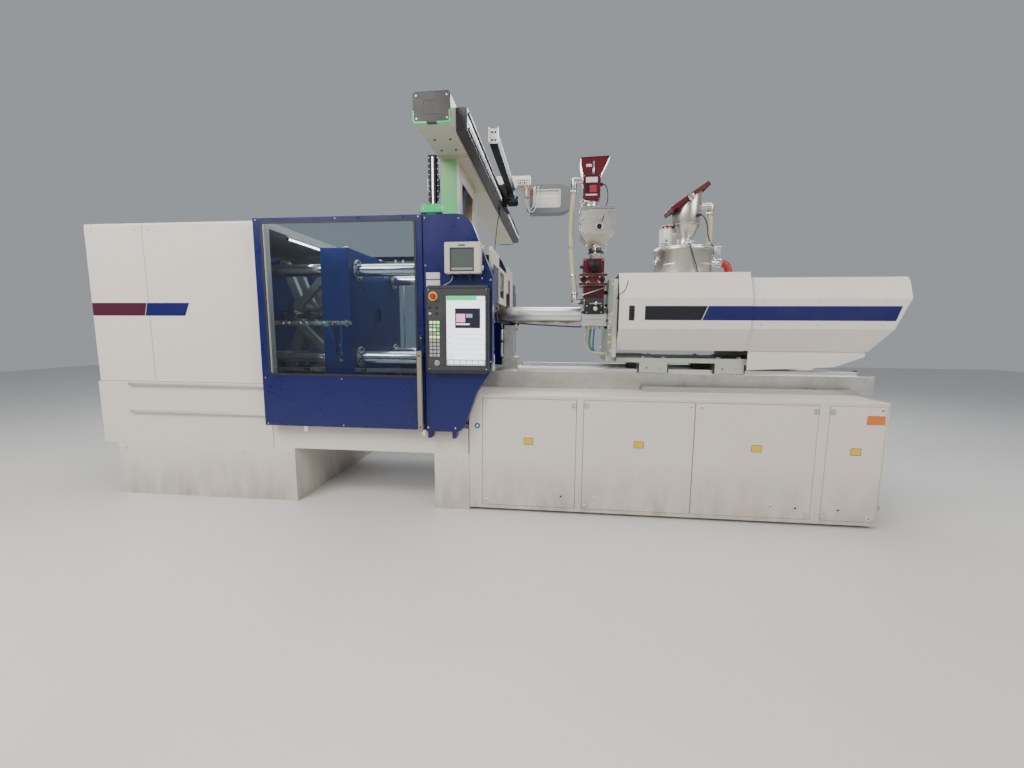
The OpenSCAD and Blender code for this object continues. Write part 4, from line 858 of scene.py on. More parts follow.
# ------------------------------------------------------------------ injection covers
def cover_details():
    # front face of the sliding cover lies at Y 272, of the rear cover at Y 288
    p = Piece()
    p.prism([(4283.5, 1422.5), (4686, 1422.5), (4726, 1523.5), (4283.5, 1523.5)], "y", 271.2, 275.6, "glass_dark")
    p.prism([(4689, 1422.5), (4692.5, 1422.5), (4732.5, 1523.5), (4729, 1523.5)], "y", 271.0, 272.4, "white")
    p.prism([(4692.5, 1421), (5039.5, 1421), (5039.5, 1525), (4732.5, 1525)], "y", 271.0, 272.4, "stripe")
    p.frame([(4276, 1415), (4735, 1415), (4735, 1531), (4276, 1531)], [(4282, 1421), (4728, 1421), (4728, 1525), (4282, 1525)], "y", 271.3, 272.2, "cover")
    p.frame(rr(4166, 4208, 1418, 1528, 6), rr(4171, 4203, 1423, 1523, 4), "y", 270.6, 273.0, "bezel")
    p.prism(rr(4171, 4203, 1423, 1523, 4), "y", 283.0, 284.8, "black")
    p.box(4174, 4200, 274, 284, 1506, 1512, "bezel")
    p.done("sliding_cover_window", "sliding_cover", 0.0005, 1)
    p = Piece()
    p.prism([(5043, 1421), (6012, 1421), (6046, 1525), (5043, 1525)], "y", 287.0, 288.4, "stripe")
    p.prism([(5043, 1421), (6012, 1421), (6046, 1525), (5043, 1525)], "y", W - 288.4, W - 287.0, "stripe")
    p.prism([(4300, 1421), (5039.5, 1421), (5039.5, 1525), (4300, 1525)], "y", W - 272.4, W - 271.0, "stripe")
    for x in (5110, 5500, 5930):
        p.lathe((x, 288, 1558), (0, -1, 0), [(0, 6), (1.4, 6), (2.2, 4)], "steel_z", 20)
        p.lathe((x, 288, 1388), (0, -1, 0), [(0, 6), (1.4, 6), (2.2, 4)], "steel_z", 20)
        p.lathe((x, W - 288, 1558), (0, 1, 0), [(0, 6), (1.4, 6), (2.2, 4)], "steel_z", 20)
        p.lathe((x, W - 288, 1388), (0, 1, 0), [(0, 6), (1.4, 6), (2.2, 4)], "steel_z", 20)
    for x in (4130, 4560, 5040):
        p.lathe((x, W - 272, 1558), (0, 1, 0), [(0, 6), (1.4, 6), (2.2, 4)], "steel_z", 20)
        p.lathe((x, W - 272, 1388), (0, 1, 0), [(0, 6), (1.4, 6), (2.2, 4)], "steel_z", 20)
    p.done("rear_cover_stripe", "injection_unit", 0.0005, 1)
    p = Piece()
    for x in (4120, 4560, 5040):
        p.lathe((x, 272, 1562), (0, -1, 0), [(0, 5), (1.2, 5), (2, 3.6)], "steel_z", 20)
        p.lathe((x, 272, 1384), (0, -1, 0), [(0, 5), (1.2, 5), (2, 3.6)], "steel_z", 20)
    p.prism(rr(4104, 4112, 1470, 1640, 2), "y", 270.8, 272.4, "cover")
    p.done("sliding_cover_screws", "sliding_cover", 0.0003, 1)
    # cooling grille on the far side of the rear cover and its end plate
    p = Piece()
    y = W - 288
    p.frame(rr(5320, 5640, 1400, 1560, 8), rr(5330, 5630, 1410, 1550, 5), "y", y, y + 3.0, "black_paint")
    for i in range(9):
        z = 1417 + i * 16
        p.poly([(5330, y + 1.0, z + 7), (5630, y + 1.0, z + 7), (5630, y + 4.0, z), (5330, y + 4.0, z), (5330, y + 0.2, z + 5.5), (5630, y + 0.2, z + 5.5), (5630, y + 3.0, z - 1.2), (5330, y + 3.0, z - 1.2)],
               [(0, 1, 2, 3), (7, 6, 5, 4), (0, 4, 5, 1), (2, 6, 7, 3), (1, 5, 6, 2), (0, 3, 7, 4)], "black_paint")
    p.done("rear_cover_grille", "injection_unit", 0.0005, 1)
    # blank round disc and small plate where the photo has marks
    p = Piece()
    n = Vector((0, -(1737 - 1584), 80)).normalized()
    c = Vector((4128, 272 + 80 * 0.22, 1584 + 153 * 0.22))
    p.lathe(c, Vector((0, -153, 80)), [(0, 20), (0.8, 20), (1.1, 19.2)], "plate", 40)
    p.done("cover_disc", "sliding_cover", 0)
    # cable that leaves the top edge of the cover and hangs over its left corner
    cord("cover_cable", [(4172, 365, 1744), (4168, 350, 1742), (4160, 330, 1716), (4150, 313, 1680), (4138, 299, 1648), (4120, 288, 1628), (4102, 284, 1615), (4090, 292, 1600), (4084, 312, 1588), (4080, 322, 1582)],
         7, "cable", "injection_unit")


cover_details()


# ------------------------------------------------------------------ base cabinet
def base_details():
    p = Piece()
    # stiffening lip below the ledge and end trims
    p.prism([(3010, 866), (5830, 866), (5830, 872), (3010, 872)], "y", -3.0, 0.4, "cream")
    p.lathe((3070, 0, 646), (0, -1, 0), [(0, 21), (1.5, 21), (2.4, 20)], "blue_plastic", 48)
    p.lathe((3070, -2.3, 646), (0, -1, 0), [(0, 9), (0.4, 9)], "white_plastic", 32)
    p.prism(rr(5700, 5812, 728, 790, 5), "y", -1.6, 0.2, "orange")
    p.prism(rr(5712, 5800, 712, 722, 3), "y", -1.2, 0.2, "plate")
    for x in (3060, 3600, 4200, 4800, 5400, 5780):
        p.lathe((x, 90, 878), (0, 0, 1), [(0, 7), (1.5, 7), (2.5, 5)], "steel_z", 20)
        p.lathe((x, W - 60, 878), (0, 0, 1), [(0, 7), (1.5, 7), (2.5, 5)], "steel_z", 20)
    # levelling feet under the plinth run through the base corners
    for x in (3110, 4420, 5720):
        for y in (60, W - 80):
            p.lathe((x, y, 34), (0, 0, 1), [(0, 10), (8, 10), (8, 7), (18, 7)], "steel_z", 6)
    # gland of the supply cable
    p.lathe((5852, 60, 140), (1, 0, 0), [(0, 17), (0, 34), (3, 34), (5, 31), (9, 31), (10, 17)], "black", 6, cap=False)
    p.done("base_trim", ROOT, 0.0008, 1)
    # rear side: cabinet grilles, seams and panel screws
    p = Piece()
    for x0 in (3250, 4050, 4850):
        p.frame(rr(x0, x0 + 420, 200, 460, 10), rr(x0 + 14, x0 + 406, 214, 446, 6), "y", W - 0.2, W + 2.4, "cream")
        for i in range(12):
            z = 226 + i * 18
            p.poly([(x0 + 14, W + 0.4, z + 8), (x0 + 406, W + 0.4, z + 8), (x0 + 406, W + 4.6, z), (x0 + 14, W + 4.6, z), (x0 + 14, W - 0.4, z + 7), (x0 + 406, W - 0.4, z + 7), (x0 + 406, W + 3.6, z - 1), (x0 + 14, W + 3.6, z - 1)],
                   [(0, 1, 2, 3), (7, 6, 5, 4), (0, 4, 5, 1), (2, 6, 7, 3), (1, 5, 6, 2), (0, 3, 7, 4)], "cream")
    for x in (3180, 3880, 4680, 5480):
        p.box(x, x + 2.2, W - 0.4, W + 0.4, 60, 850, "gasket")
    for x in (3200, 3860, 3900, 4660, 4700, 5460, 5500, 5790):
        for z in (90, 450, 820):
            p.lathe((x, W, z), (0, 1, 0), [(0, 7), (1.6, 7), (2.6, 5)], "steel_z", 20)
    p.done("base_back_panels", ROOT, 0.0005, 1)


base_details()


def door_marks():
    locks = {1: [(3141, 826), (3144, 85)], 2: [(4573, 818), (3934, 133)], 3: [(5136, 136), (4640, 818)], 4: [(5793, 827), (5778, 77)]}
    dots = {1: [(3686, 135)], 2: [], 3: [(5301, 127)], 4: [(5578, 126)]}
    plate = {1: 3445, 2: 4226, 3: 5017, 4: 5651}
    span = {1: (3109, 3785), 2: (3837, 4597), 3: (4601, 5398), 4: (5466, 5822)}
    hinge = {1: (3768, 1), 2: (3854, -1), 3: (5380, 1), 4: (5483, -1)}
    for i in range(1, 5):
        body = "base_door_%d" % i
        x0, x1 = span[i]
        p = Piece()
        for x, z in locks[i]:
            p.lathe((x, 0, z), (0, -1, 0), [(0, 13), (1.6, 13), (2.6, 11.5), (2.6, 7), (1.0, 7), (1.0, 0.01)], "chrome", 36, cap=False)
            p.prism(rr(x - 1.6, x + 1.6, z - 6, z + 6, 1, 3), "y", -2.2, -0.8, "black")
        for x, z in dots[i]:
            p.lathe((x, 0, z), (0, -1, 0), [(0, 7), (1.2, 7), (1.8, 5.6)], "black", 24)
        c = plate[i]
        p.prism(rr(c - 34, c + 34, 516, 566, 5), "y", -0.9, 0.2, "amber")
        p.frame(rr(c - 34, c + 34, 516, 566, 5), rr(c - 31, c + 31, 519, 563, 3), "y", -1.2, -0.7, "black_paint")
        p.prism(rr(c - 34, c + 34, 494, 510, 3), "y", -0.8, 0.2, "plate")
        hx, d = hinge[i]
        for z in (82, 812):
            p.box(hx - 16, hx + 16, -6.2, -4.8, z - 15, z + 15, "steel_z")
            for k in (-8, 8):
                p.lathe((hx + k, -6.2, z), (0, -1, 0), [(0, 4), (1, 4), (1.6, 2.8)], "chrome", 16)
        # folded edge shadow line and inner stiffeners seen when the door is open
        p.frame([(x0 + 1, 51), (x1 - 1, 51), (x1 - 1, 849), (x0 + 1, 849)], [(x0 + 2.6, 52.6), (x1 - 2.6, 52.6), (x1 - 2.6, 847.4), (x0 + 2.6, 847.4)], "y", -0.35, 0.3, "shaded_cream")
        p.box(x0 + 20, x0 + 46, 3.0, 13, 80, 820, "cream")
        p.box(x1 - 60, x1 - 46, 3.0, 13, 80, 820, "cream")
        p.box((x0 + x1) / 2 - 15, (x0 + x1) / 2 + 15, 3.0, 13, 90, 395, "cream")
        p.done(body + "_marks", body, 0.0004, 1)


door_marks()


# ------------------------------------------------------------------ injection bed and carriage
def bed_details():
    p = Piece()
    for x in range(3160, 5990, 190):
        for y, d in ((425, -1), (1095, 1)):
            p.lathe((x, y, 905), (0, d, 0), [(0, 11), (2, 11), (8, 10.4), (9, 9)], "steel_z", 6)
    for x in range(3350, 5890, 120):
        for y in (480, 1040):
            p.lathe((x, y, 1040), (0, 0, 1), [(-0.4, 8.5), (0.25, 8.5), (0.25, 6.0), (-0.2, 5.6)], "steel_z", 20)
    for x in (3320, 5885):
        for y in (460, 1020):
            p.box(x - 6 if x < 4000 else x + 15, x + 0.5 if x < 4000 else x + 24, y - 6, y + 46, 1010, 1052, "steel_z")
    p.done("bed_bolts", ROOT, 0.0006, 1)
    # drag chain tray beside the bed, with cables running to the drive
    p = Piece()
    p.box(4300, 5860, 330, 334, 878, 918, "steel_z")
    p.box(4300, 5860, 334, 408, 878, 881, "steel_z")
    p.box(4300, 5860, 405, 408, 881, 918, "steel_z")
    p.done("cable_tray", ROOT, 0.0006, 1)
    p = Piece()
    for x in (4287, 4861):
        for y in (435, 995):
            for dx in (28, 187):
                for dy in (22, 68):
                    p.lathe((x + dx, y + dy, 1130), (0, 0, 1), [(0, 11), (10, 11), (11, 10), (11, 6), (5, 5.6)], "steel_z", 24)
            for a in (x - 10, x + 214.5):
                p.box(a, a + 10.5, y + 4, y + 86, 1043, 1086, "black_paint")
                p.box(a, a + 10.5, y + 4, y + 21, 1016, 1043, "black_paint")
                p.box(a, a + 10.5, y + 69, y + 86, 1016, 1043, "black_paint")
            for dx in (54, 160):
                p.lathe((x + dx, y if y < 700 else y + 90, 1054), (0, -1 if y < 700 else 1, 0), [(0, 8), (2, 8), (6, 6), (6, 3.5)], "brass" if dx == 54 else "steel_z", 20)
    for z in (1180, 1465, 1690):
        for y in (360, 1160):
            p.lathe((4056, y, z), (-1, 0, 0), [(0, 13), (2, 13), (12, 12), (13, 10)], "steel_z", 6)
    for a in range(8):
        t = math.radians(22.5 + 45 * a)
        p.lathe((4056, 760 + 100 * math.cos(t), 1465 + 100 * math.sin(t)), (-1, 0, 0), [(0, 12), (14, 12), (15, 11), (15, 7), (8, 6.5)], "black_paint", 24)
    p.lathe((4056, 430, 1392), (-1, 0, 0), [(0, 30), (0, 52), (9, 52), (12, 48), (12, 33), (9, 30)], "grey_cast", 40, cap=False)
    p.lathe((4056, 430, 1392), (-1, 0, 0), [(1, 29.5), (1.2, 29.5)], "black_paint", 40)
    p.torus((4043.6, 430, 1392), (1, 0, 0), 40, 3.2, "chrome", 40, 10)
    for z in (1250, 1305):
        p.lathe((4056, 400, z), (-1, 0, 0), [(0, 16), (7, 16), (7, 11), (24, 11), (25, 9)], "brass", 6)
    p.done("carriage_fittings", "injection_unit", 0.0007, 1)


bed_details()


# ------------------------------------------------------------------ robot
BZ = 2690.0
BT = BZ + 180.0
BL = 4075.0
CYR = 1850.0


def corner_light(p, y0, y1, left, z_low, mat):
    """L-shaped lens around one lower corner of a beam end cap."""
    x_out = 2670.5 if left else 2922.5
    s = 1 if left else -1
    n = 7
    outer, inner = [], []
    r = 24.0
    for i in range(n):
        a = math.radians(90.0 * i / (n - 1))
        outer.append((x_out + s * (r - r * math.cos(a)), z_low + r - r * math.sin(a)))
        inner.append((x_out + s * (r - (r - 9) * math.cos(a)), z_low + r - (r - 9) * math.sin(a)))
    outer = [(x_out, z_low + 78)] + outer + [(x_out + s * 92, z_low)]
    inner = [(x_out + s * 9, z_low + 78)] + inner + [(x_out + s * 92, z_low + 9)]
    k = len(outer)
    verts = [(x, y0, z) for x, z in outer] + [(x, y0, z) for x, z in inner] + [(x, y1, z) for x, z in outer] + [(x, y1, z) for x, z in inner]
    f = []
    for i in range(k - 1):
        f.append((i, i + 1, k + i + 1, k + i))
        f.append((2 * k + i + 1, 2 * k + i, 3 * k + i, 3 * k + i + 1))
        f.append((i + 1, i, 2 * k + i, 2 * k + i + 1))
        f.append((k + i, k + i + 1, 3 * k + i + 1, 3 * k + i))
    f.append((0, k, 3 * k, 2 * k))
    f.append((k - 1, 3 * k - 1, 4 * k - 1, 2 * k - 1))
    p.poly(verts, f, mat)


def robot_details():
    # black end caps with the green corner lights
    p = Piece()
    for ya, yb, yf, d in ((-118.5, -88.0, -118.5, -1), (BL - 142.0, BL - 111.5, BL - 111.5, 1)):
        p.frame(rr(2670, 2923, BZ - 6, BT + 6, 24), rr(2676, 2917, BZ, BT, 18), "y", ya, yb, "black_paint")
        p.prism(rr(2676, 2917, BZ, BT, 18), "y", min(yf, yf - d * 3), max(yf, yf - d * 3), "black")
        for x in (2694, 2899):
            for z in (BZ + 20, BT - 20):
                p.lathe((x, yf, z), (0, d, 0), [(0, 6), (1.2, 6), (2, 4.4)], "steel_z", 20)
        p.frame(rr(2740, 2853, BZ + 46, BT - 46, 10), rr(2745, 2848, BZ + 51, BT - 51, 7), "y", min(yf, yf + d * 1.5), max(yf, yf + d * 1.5), "bezel")
    p.done("beam_end_caps", ROOT, 0.0015)
    p = Piece()
    for ya, yb in ((-124.0, -96.0), (BL - 134.0, BL - 106.0)):
        for left in (True, False):
            corner_light(p, ya, yb, left, BZ - 9.5, "led")
    p.done("beam_corner_lights", ROOT, 0.0015)
    # rivets and joint strips under the beam
    p = Piece()
    for y in range(0, int(BL) - 180, 170):
        for x in (2696, 2897):
            p.lathe((x, y, BZ), (0, 0, -1), [(0, 5), (0.8, 4.8), (1.8, 3.2)], "steel_z", 16)
    for y in (150, 330):
        for x in (2740, 2853):
            p.lathe((x, y, BZ), (0, 0, -1), [(0, 9), (5, 9), (6, 8), (6, 5), (3, 4.8)], "black_paint", 6)
    p.box(2677, 2916, 430, 433, BZ - 0.6, BZ + 0.3, "gasket")
    p.box(2677, 2916, 1330, 1333, BZ - 0.6, BZ + 0.3, "gasket")
    p.done("beam_rivets", ROOT, 0.0003, 1)
    # post: front panel with a painted green glow, strongest low down, side seams, bolts
    p = Piece()
    p.prism([(2697, 1992), (2823, 1992), (2823, BZ - 15), (2697, BZ - 15)], "y", 466.5, 470.3, "painted_glow")
    p.done("post_front_panel", ROOT, 0.001)
    p = Piece()
    for y in (600, 1160):
        p.box(2824.6, 2826.4, y, y + 3, 1992, BZ - 16, "gasket")
    p.frame(rr(632, 1128, 2112, 2568, 16), rr(642, 1118, 2122, 2558, 10), "x", 2823.5, 2828.5, "robot")
    p.frame(rr(632, 1128, 2112, 2568, 16), rr(642, 1118, 2122, 2558, 10), "x", 2691.5, 2696.5, "robot")
    for y in (500, 560, 1190, 1255):
        for z in (2030, 2640):
            p.lathe((2825, y, z), (1, 0, 0), [(0, 8), (2, 8), (7, 7.4), (8, 6)], "steel_z", 6)
    for x in (2676, 2904):
        for y in (480, 740, 1000, 1260):
            p.lathe((x, y, 1988), (0, 0, 1), [(0, 14), (3, 14), (3, 11), (14, 11), (15, 9.6)], "steel_z", 6)
    p.box(2834, 2852, 690, 730, 1990, 2110, "cable_grey")
    p.done("post_fittings", ROOT, 0.0008)
    cord("post_cable_a", [(2812, 700, 2100), (2800, 700, 2180), (2790, 720, 2260), (2788, 760, 2360), (2794, 800, 2450), (2798, 820, 2530), (2799, 824, 2585)], 18, "cable", ROOT)
    cord("post_cable_b", [(2812, 716, 2100), (2806, 730, 2180), (2798, 760, 2260), (2794, 810, 2360), (2798, 850, 2450), (2802, 870, 2530), (2803, 872, 2585)], 12, "hose_blue", ROOT)
    # linear rails, rack teeth and fixed tray edge on the dark drive side of the beam
    p = Piece()
    for i in range(200):
        y = 110 + i * 19.0
        if y < BL - 215:
            p.poly([(2996, y, BZ + 76), (2996, y + 12, BZ + 76), (2996, y + 12, BZ + 102), (2996, y, BZ + 102), (3002, y + 3, BZ + 76), (3002, y + 9, BZ + 76), (3002, y + 9, BZ + 102), (3002, y + 3, BZ + 102)],
                   [(0, 3, 2, 1), (4, 5, 6, 7), (0, 1, 5, 4), (1, 2, 6, 5), (2, 3, 7, 6), (3, 0, 4, 7)], "steel_z")
    for z in (BZ + 30, BZ + 130):
        for y in range(140, int(BL) - 240, 240):
            p.lathe((3006, y, z + 10), (1, 0, 0), [(-0.3, 5.5), (0.3, 5.5), (0.3, 3.6), (-0.2, 3.2)], "black_paint", 16)
    p.done("beam_rack", ROOT, 0)


robot_details()


def carriage_details():
    p = Piece()
    body = "robot_carriage"
    # bolts and motor on the carriage plate
    for y in (CYR + 26, CYR + 274):
        for z in (BZ + 16, BZ + 216):
            p.lathe((3060, y, z), (1, 0, 0), [(0, 9), (2, 9), (9, 8.4), (9, 5), (4, 4.6)], "steel_z", 24)
    p.lathe((3060, CYR + 70, BZ + 60), (1, 0, 0), [(0, 46), (10, 46), (12, 44), (12, 40), (104, 40), (107, 38)], "anodised", 48)
    p.lathe((3166, CYR + 70, BZ + 60), (1, 0, 0), [(0, 30), (14, 30), (17, 27)], "black", 40)
    p.box(3150, 3178, CYR + 56, CYR + 84, BZ + 100, BZ + 122, "black")
    # energy chain: links lying in the tray
    n = 0
    y = CYR - 1216
    while y < CYR + 170:
        p.prism([(y, BZ + 222), (y + 30, BZ + 222), (y + 36, BZ + 234), (y + 30, BZ + 252), (y, BZ + 252), (y - 6 + 12, BZ + 237)], "x", 3066, 3070, "black")
        p.prism([(y, BZ + 222), (y + 30, BZ + 222), (y + 36, BZ + 234), (y + 30, BZ + 252), (y, BZ + 252), (y - 6 + 12, BZ + 237)], "x", 3124, 3128, "black")
        if n % 2 == 0:
            p.box(3066, 3128, y + 8, y + 22, BZ + 248, BZ + 252, "black")
            p.box(3066, 3128, y + 8, y + 22, BZ + 221, BZ + 225, "black")
        y += 38
        n += 1
    # white bracket at the near end of the tray
    y = CYR - 1232
    p.box(3058, 3136, y - 5, y, BZ + 150, BZ + 262, "white")
    p.box(3058, 3064, y - 40, y - 5, BZ + 150, BZ + 262, "white")
    p.box(3130, 3136, y - 40, y - 5, BZ + 150, BZ + 262, "white")
    for z in (BZ + 176, BZ + 236):
        p.lathe((3084, y - 5, z), (0, -1, 0), [(0, 9), (1, 9), (1.6, 7.6)], "black_paint", 24)
        p.lathe((3110, y - 5, z), (0, -1, 0), [(0, 9), (1, 9), (1.6, 7.6)], "black_paint", 24)
    p.done("carriage_fittings_robot", body, 0.0006, 1)
    # kick box: valve block, tubes and loops, end trims
    body = "robot_kick"
    y0 = CYR + 160
    p = Piece()
    p.frame([(2128, BZ + 250), (3292, BZ + 250), (3292, BZ + 364), (2128, BZ + 364)], [(2132, BZ + 254), (3288, BZ + 254), (3288, BZ + 360), (2132, BZ + 360)], "y", y0 - 0.8, y0 + 0.4, "white")
    p.box(3150, 3290, y0 - 46, y0, BZ + 256, BZ + 332, "white")
    p.box(3158, 3282, y0 - 52, y0 - 46, BZ + 262, BZ + 324, "white_plastic")
    for i in range(5):
        x = 3170 + i * 24
        p.lathe((x, y0 - 52, BZ + 306), (0, -1, 0), [(0, 6), (6, 6), (7, 5)], "black", 20)
        p.box(x - 8, x + 8, y0 - 53, y0 - 51, BZ + 268, BZ + 288, "black" if i % 2 else "cable_grey")
    for x in (3240, 3254, 3268, 3282):
        p.lathe((x, y0 - 30, BZ + 256), (0, 0, -1), [(0, 6), (10, 6), (12, 5.4), (24, 5.4)], "brass", 18)
    p.lathe((3318, y0 - 34, BZ + 214), (0, 0, -1), [(0, 12), (22, 12), (26, 9), (60, 9), (64, 6)], "hose_red", 28)
    p.box(3312, 3324, y0 - 36, y0 - 19, BZ + 180, BZ + 196, "steel_z")
    p.lathe((3346, y0 - 32, BZ + 232), (0, 0, -1), [(0, 11), (18, 11), (22, 8), (46, 8)], "white_plastic", 28)
    p.box(3341, 3351, y0 - 36, y0 - 19, BZ + 206, BZ + 218, "steel_z")
    for x in (2200, 2500, 2800, 3250):
        for z in (BZ + 268, BZ + 346):
            p.lathe((x, y0, z), (0, -1, 0), [(0, 6), (2, 6), (3, 4.4)], "steel_z", 18)
    # rounded tail: light panel with frame, cable entry
    p.frame(rr(3336, 3644, BZ + 16, BZ + 214, 24), rr(3350, 3630, BZ + 30, BZ + 200, 14), "y", CYR + 138.6, CYR + 140.4, "plate")
    p.prism(rr(3348, 3632, BZ + 28, BZ + 202, 14), "y", CYR + 155.5, CYR + 159.5, "white_plastic")
    for z in (BZ + 60, BZ + 115, BZ + 170):
        p.box(3362, 3618, CYR + 154.4, CYR + 155.8, z - 1.5, z + 1.5, "cable_grey")
    p.done("kick_fittings", body, 0.0008)
    cord("kick_tube_red", [(3240, y0 - 30, BZ + 233), (3240, y0 - 34, BZ + 190), (3250, y0 - 52, BZ + 130), (3272, y0 - 60, BZ + 104), (3296, y0 - 54, BZ + 122), (3314, y0 - 42, BZ + 136), (3318, y0 - 34, BZ + 148)], 9, "hose_red", body, relax=60)
    cord("kick_tube_white_a", [(3254, y0 - 30, BZ + 233), (3253, y0 - 34, BZ + 180), (3262, y0 - 44, BZ + 40), (3298, y0 - 50, BZ - 26), (3338, y0 - 48, BZ + 20), (3356, y0 - 42, BZ + 130), (3360, y0 - 34, BZ + 220), (3360, y0 - 27, BZ + 246)], 10, "white_plastic", body, relax=60)
    cord("kick_tube_white_b", [(3268, y0 - 30, BZ + 233), (3268, y0 - 36, BZ + 170), (3280, y0 - 60, BZ + 20), (3322, y0 - 66, BZ - 56), (3372, y0 - 62, BZ + 10), (3392, y0 - 50, BZ + 130), (3394, y0 - 36, BZ + 220), (3394, y0 - 27, BZ + 244)], 10, "white_plastic", body, relax=60)
    cord("kick_tube_green", [(3282, y0 - 30, BZ + 233), (3282, y0 - 34, BZ + 180), (3276, y0 - 38, BZ + 80), (3270, y0 - 42, BZ - 10), (3284, y0 - 42, BZ - 52), (3306, y0 - 38, BZ - 48), (3318, y0 - 30, BZ - 26), (3322, y0 - 26, BZ - 6)], 10, "green_plastic", body, relax=60)
    # arm: belt, rail bolts, end bumper
    p = Piece()
    y = CYR + 90
    for z in range(int(BZ) + 90, int(BZ) + 590, 60):
        for x in (2160, 2260):
            p.lathe((x, y, z), (0, -1, 0), [(0, 4.5), (1, 4.5), (1.8, 3)], "steel_z", 16)
    p.box(2146, 2150.5, y + 12, y + 50, BZ + 80, BZ + 580, "black")
    p.box(2152, 2268, y + 6, y + 56, BZ + 598, BZ + 608, "black")
    p.done("arm_trim", "robot_arm", 0.0008)
    p = Piece()
    yy = CYR + 60
    p.box(2202, 2218, yy - 1.2, yy + 0.4, BZ + 40, BZ + 570, "steel_z")
    for z in range(int(BZ) + 60, int(BZ) + 560, 80):
        p.lathe((2210, yy - 1.2, z), (0, -1, 0), [(0, 4), (0.4, 4)], "black_paint", 16)
    for x in (2172, 2248):
        p.lathe((x, CYR + 84, BZ + 30), (0, 0, 1), [(0, 7), (6, 7), (7, 6), (7, 4), (3, 3.6)], "steel_z", 20)
    p.done("arm_inner_trim", "robot_arm_inner", 0.0006)
    p = Piece()
    c = Vector((2210, CYR + 84, 0))
    p.lathe((c.x, c.y, BZ - 52), (0, 0, -1), [(0, 31), (0.6, 31), (0.6, 25), (-1.0, 24.5)], "anodised", 48, cap=False)
    for k in range(2):
        x = c.x - 38 if k == 0 else c.x + 38
        s = -1 if k == 0 else 1
        p.lathe((x, c.y, BZ - 18), (s, 0, 0), [(0, 8), (8, 8), (8, 6), (18, 6)], "brass", 20)
    p.done("wrist_fittings", "robot_wrist", 0.0005)


carriage_details()


# ------------------------------------------------------------------ nozzle area and barrel
HX, LX, DXC, CY = 3950, 4672, 4662, 760


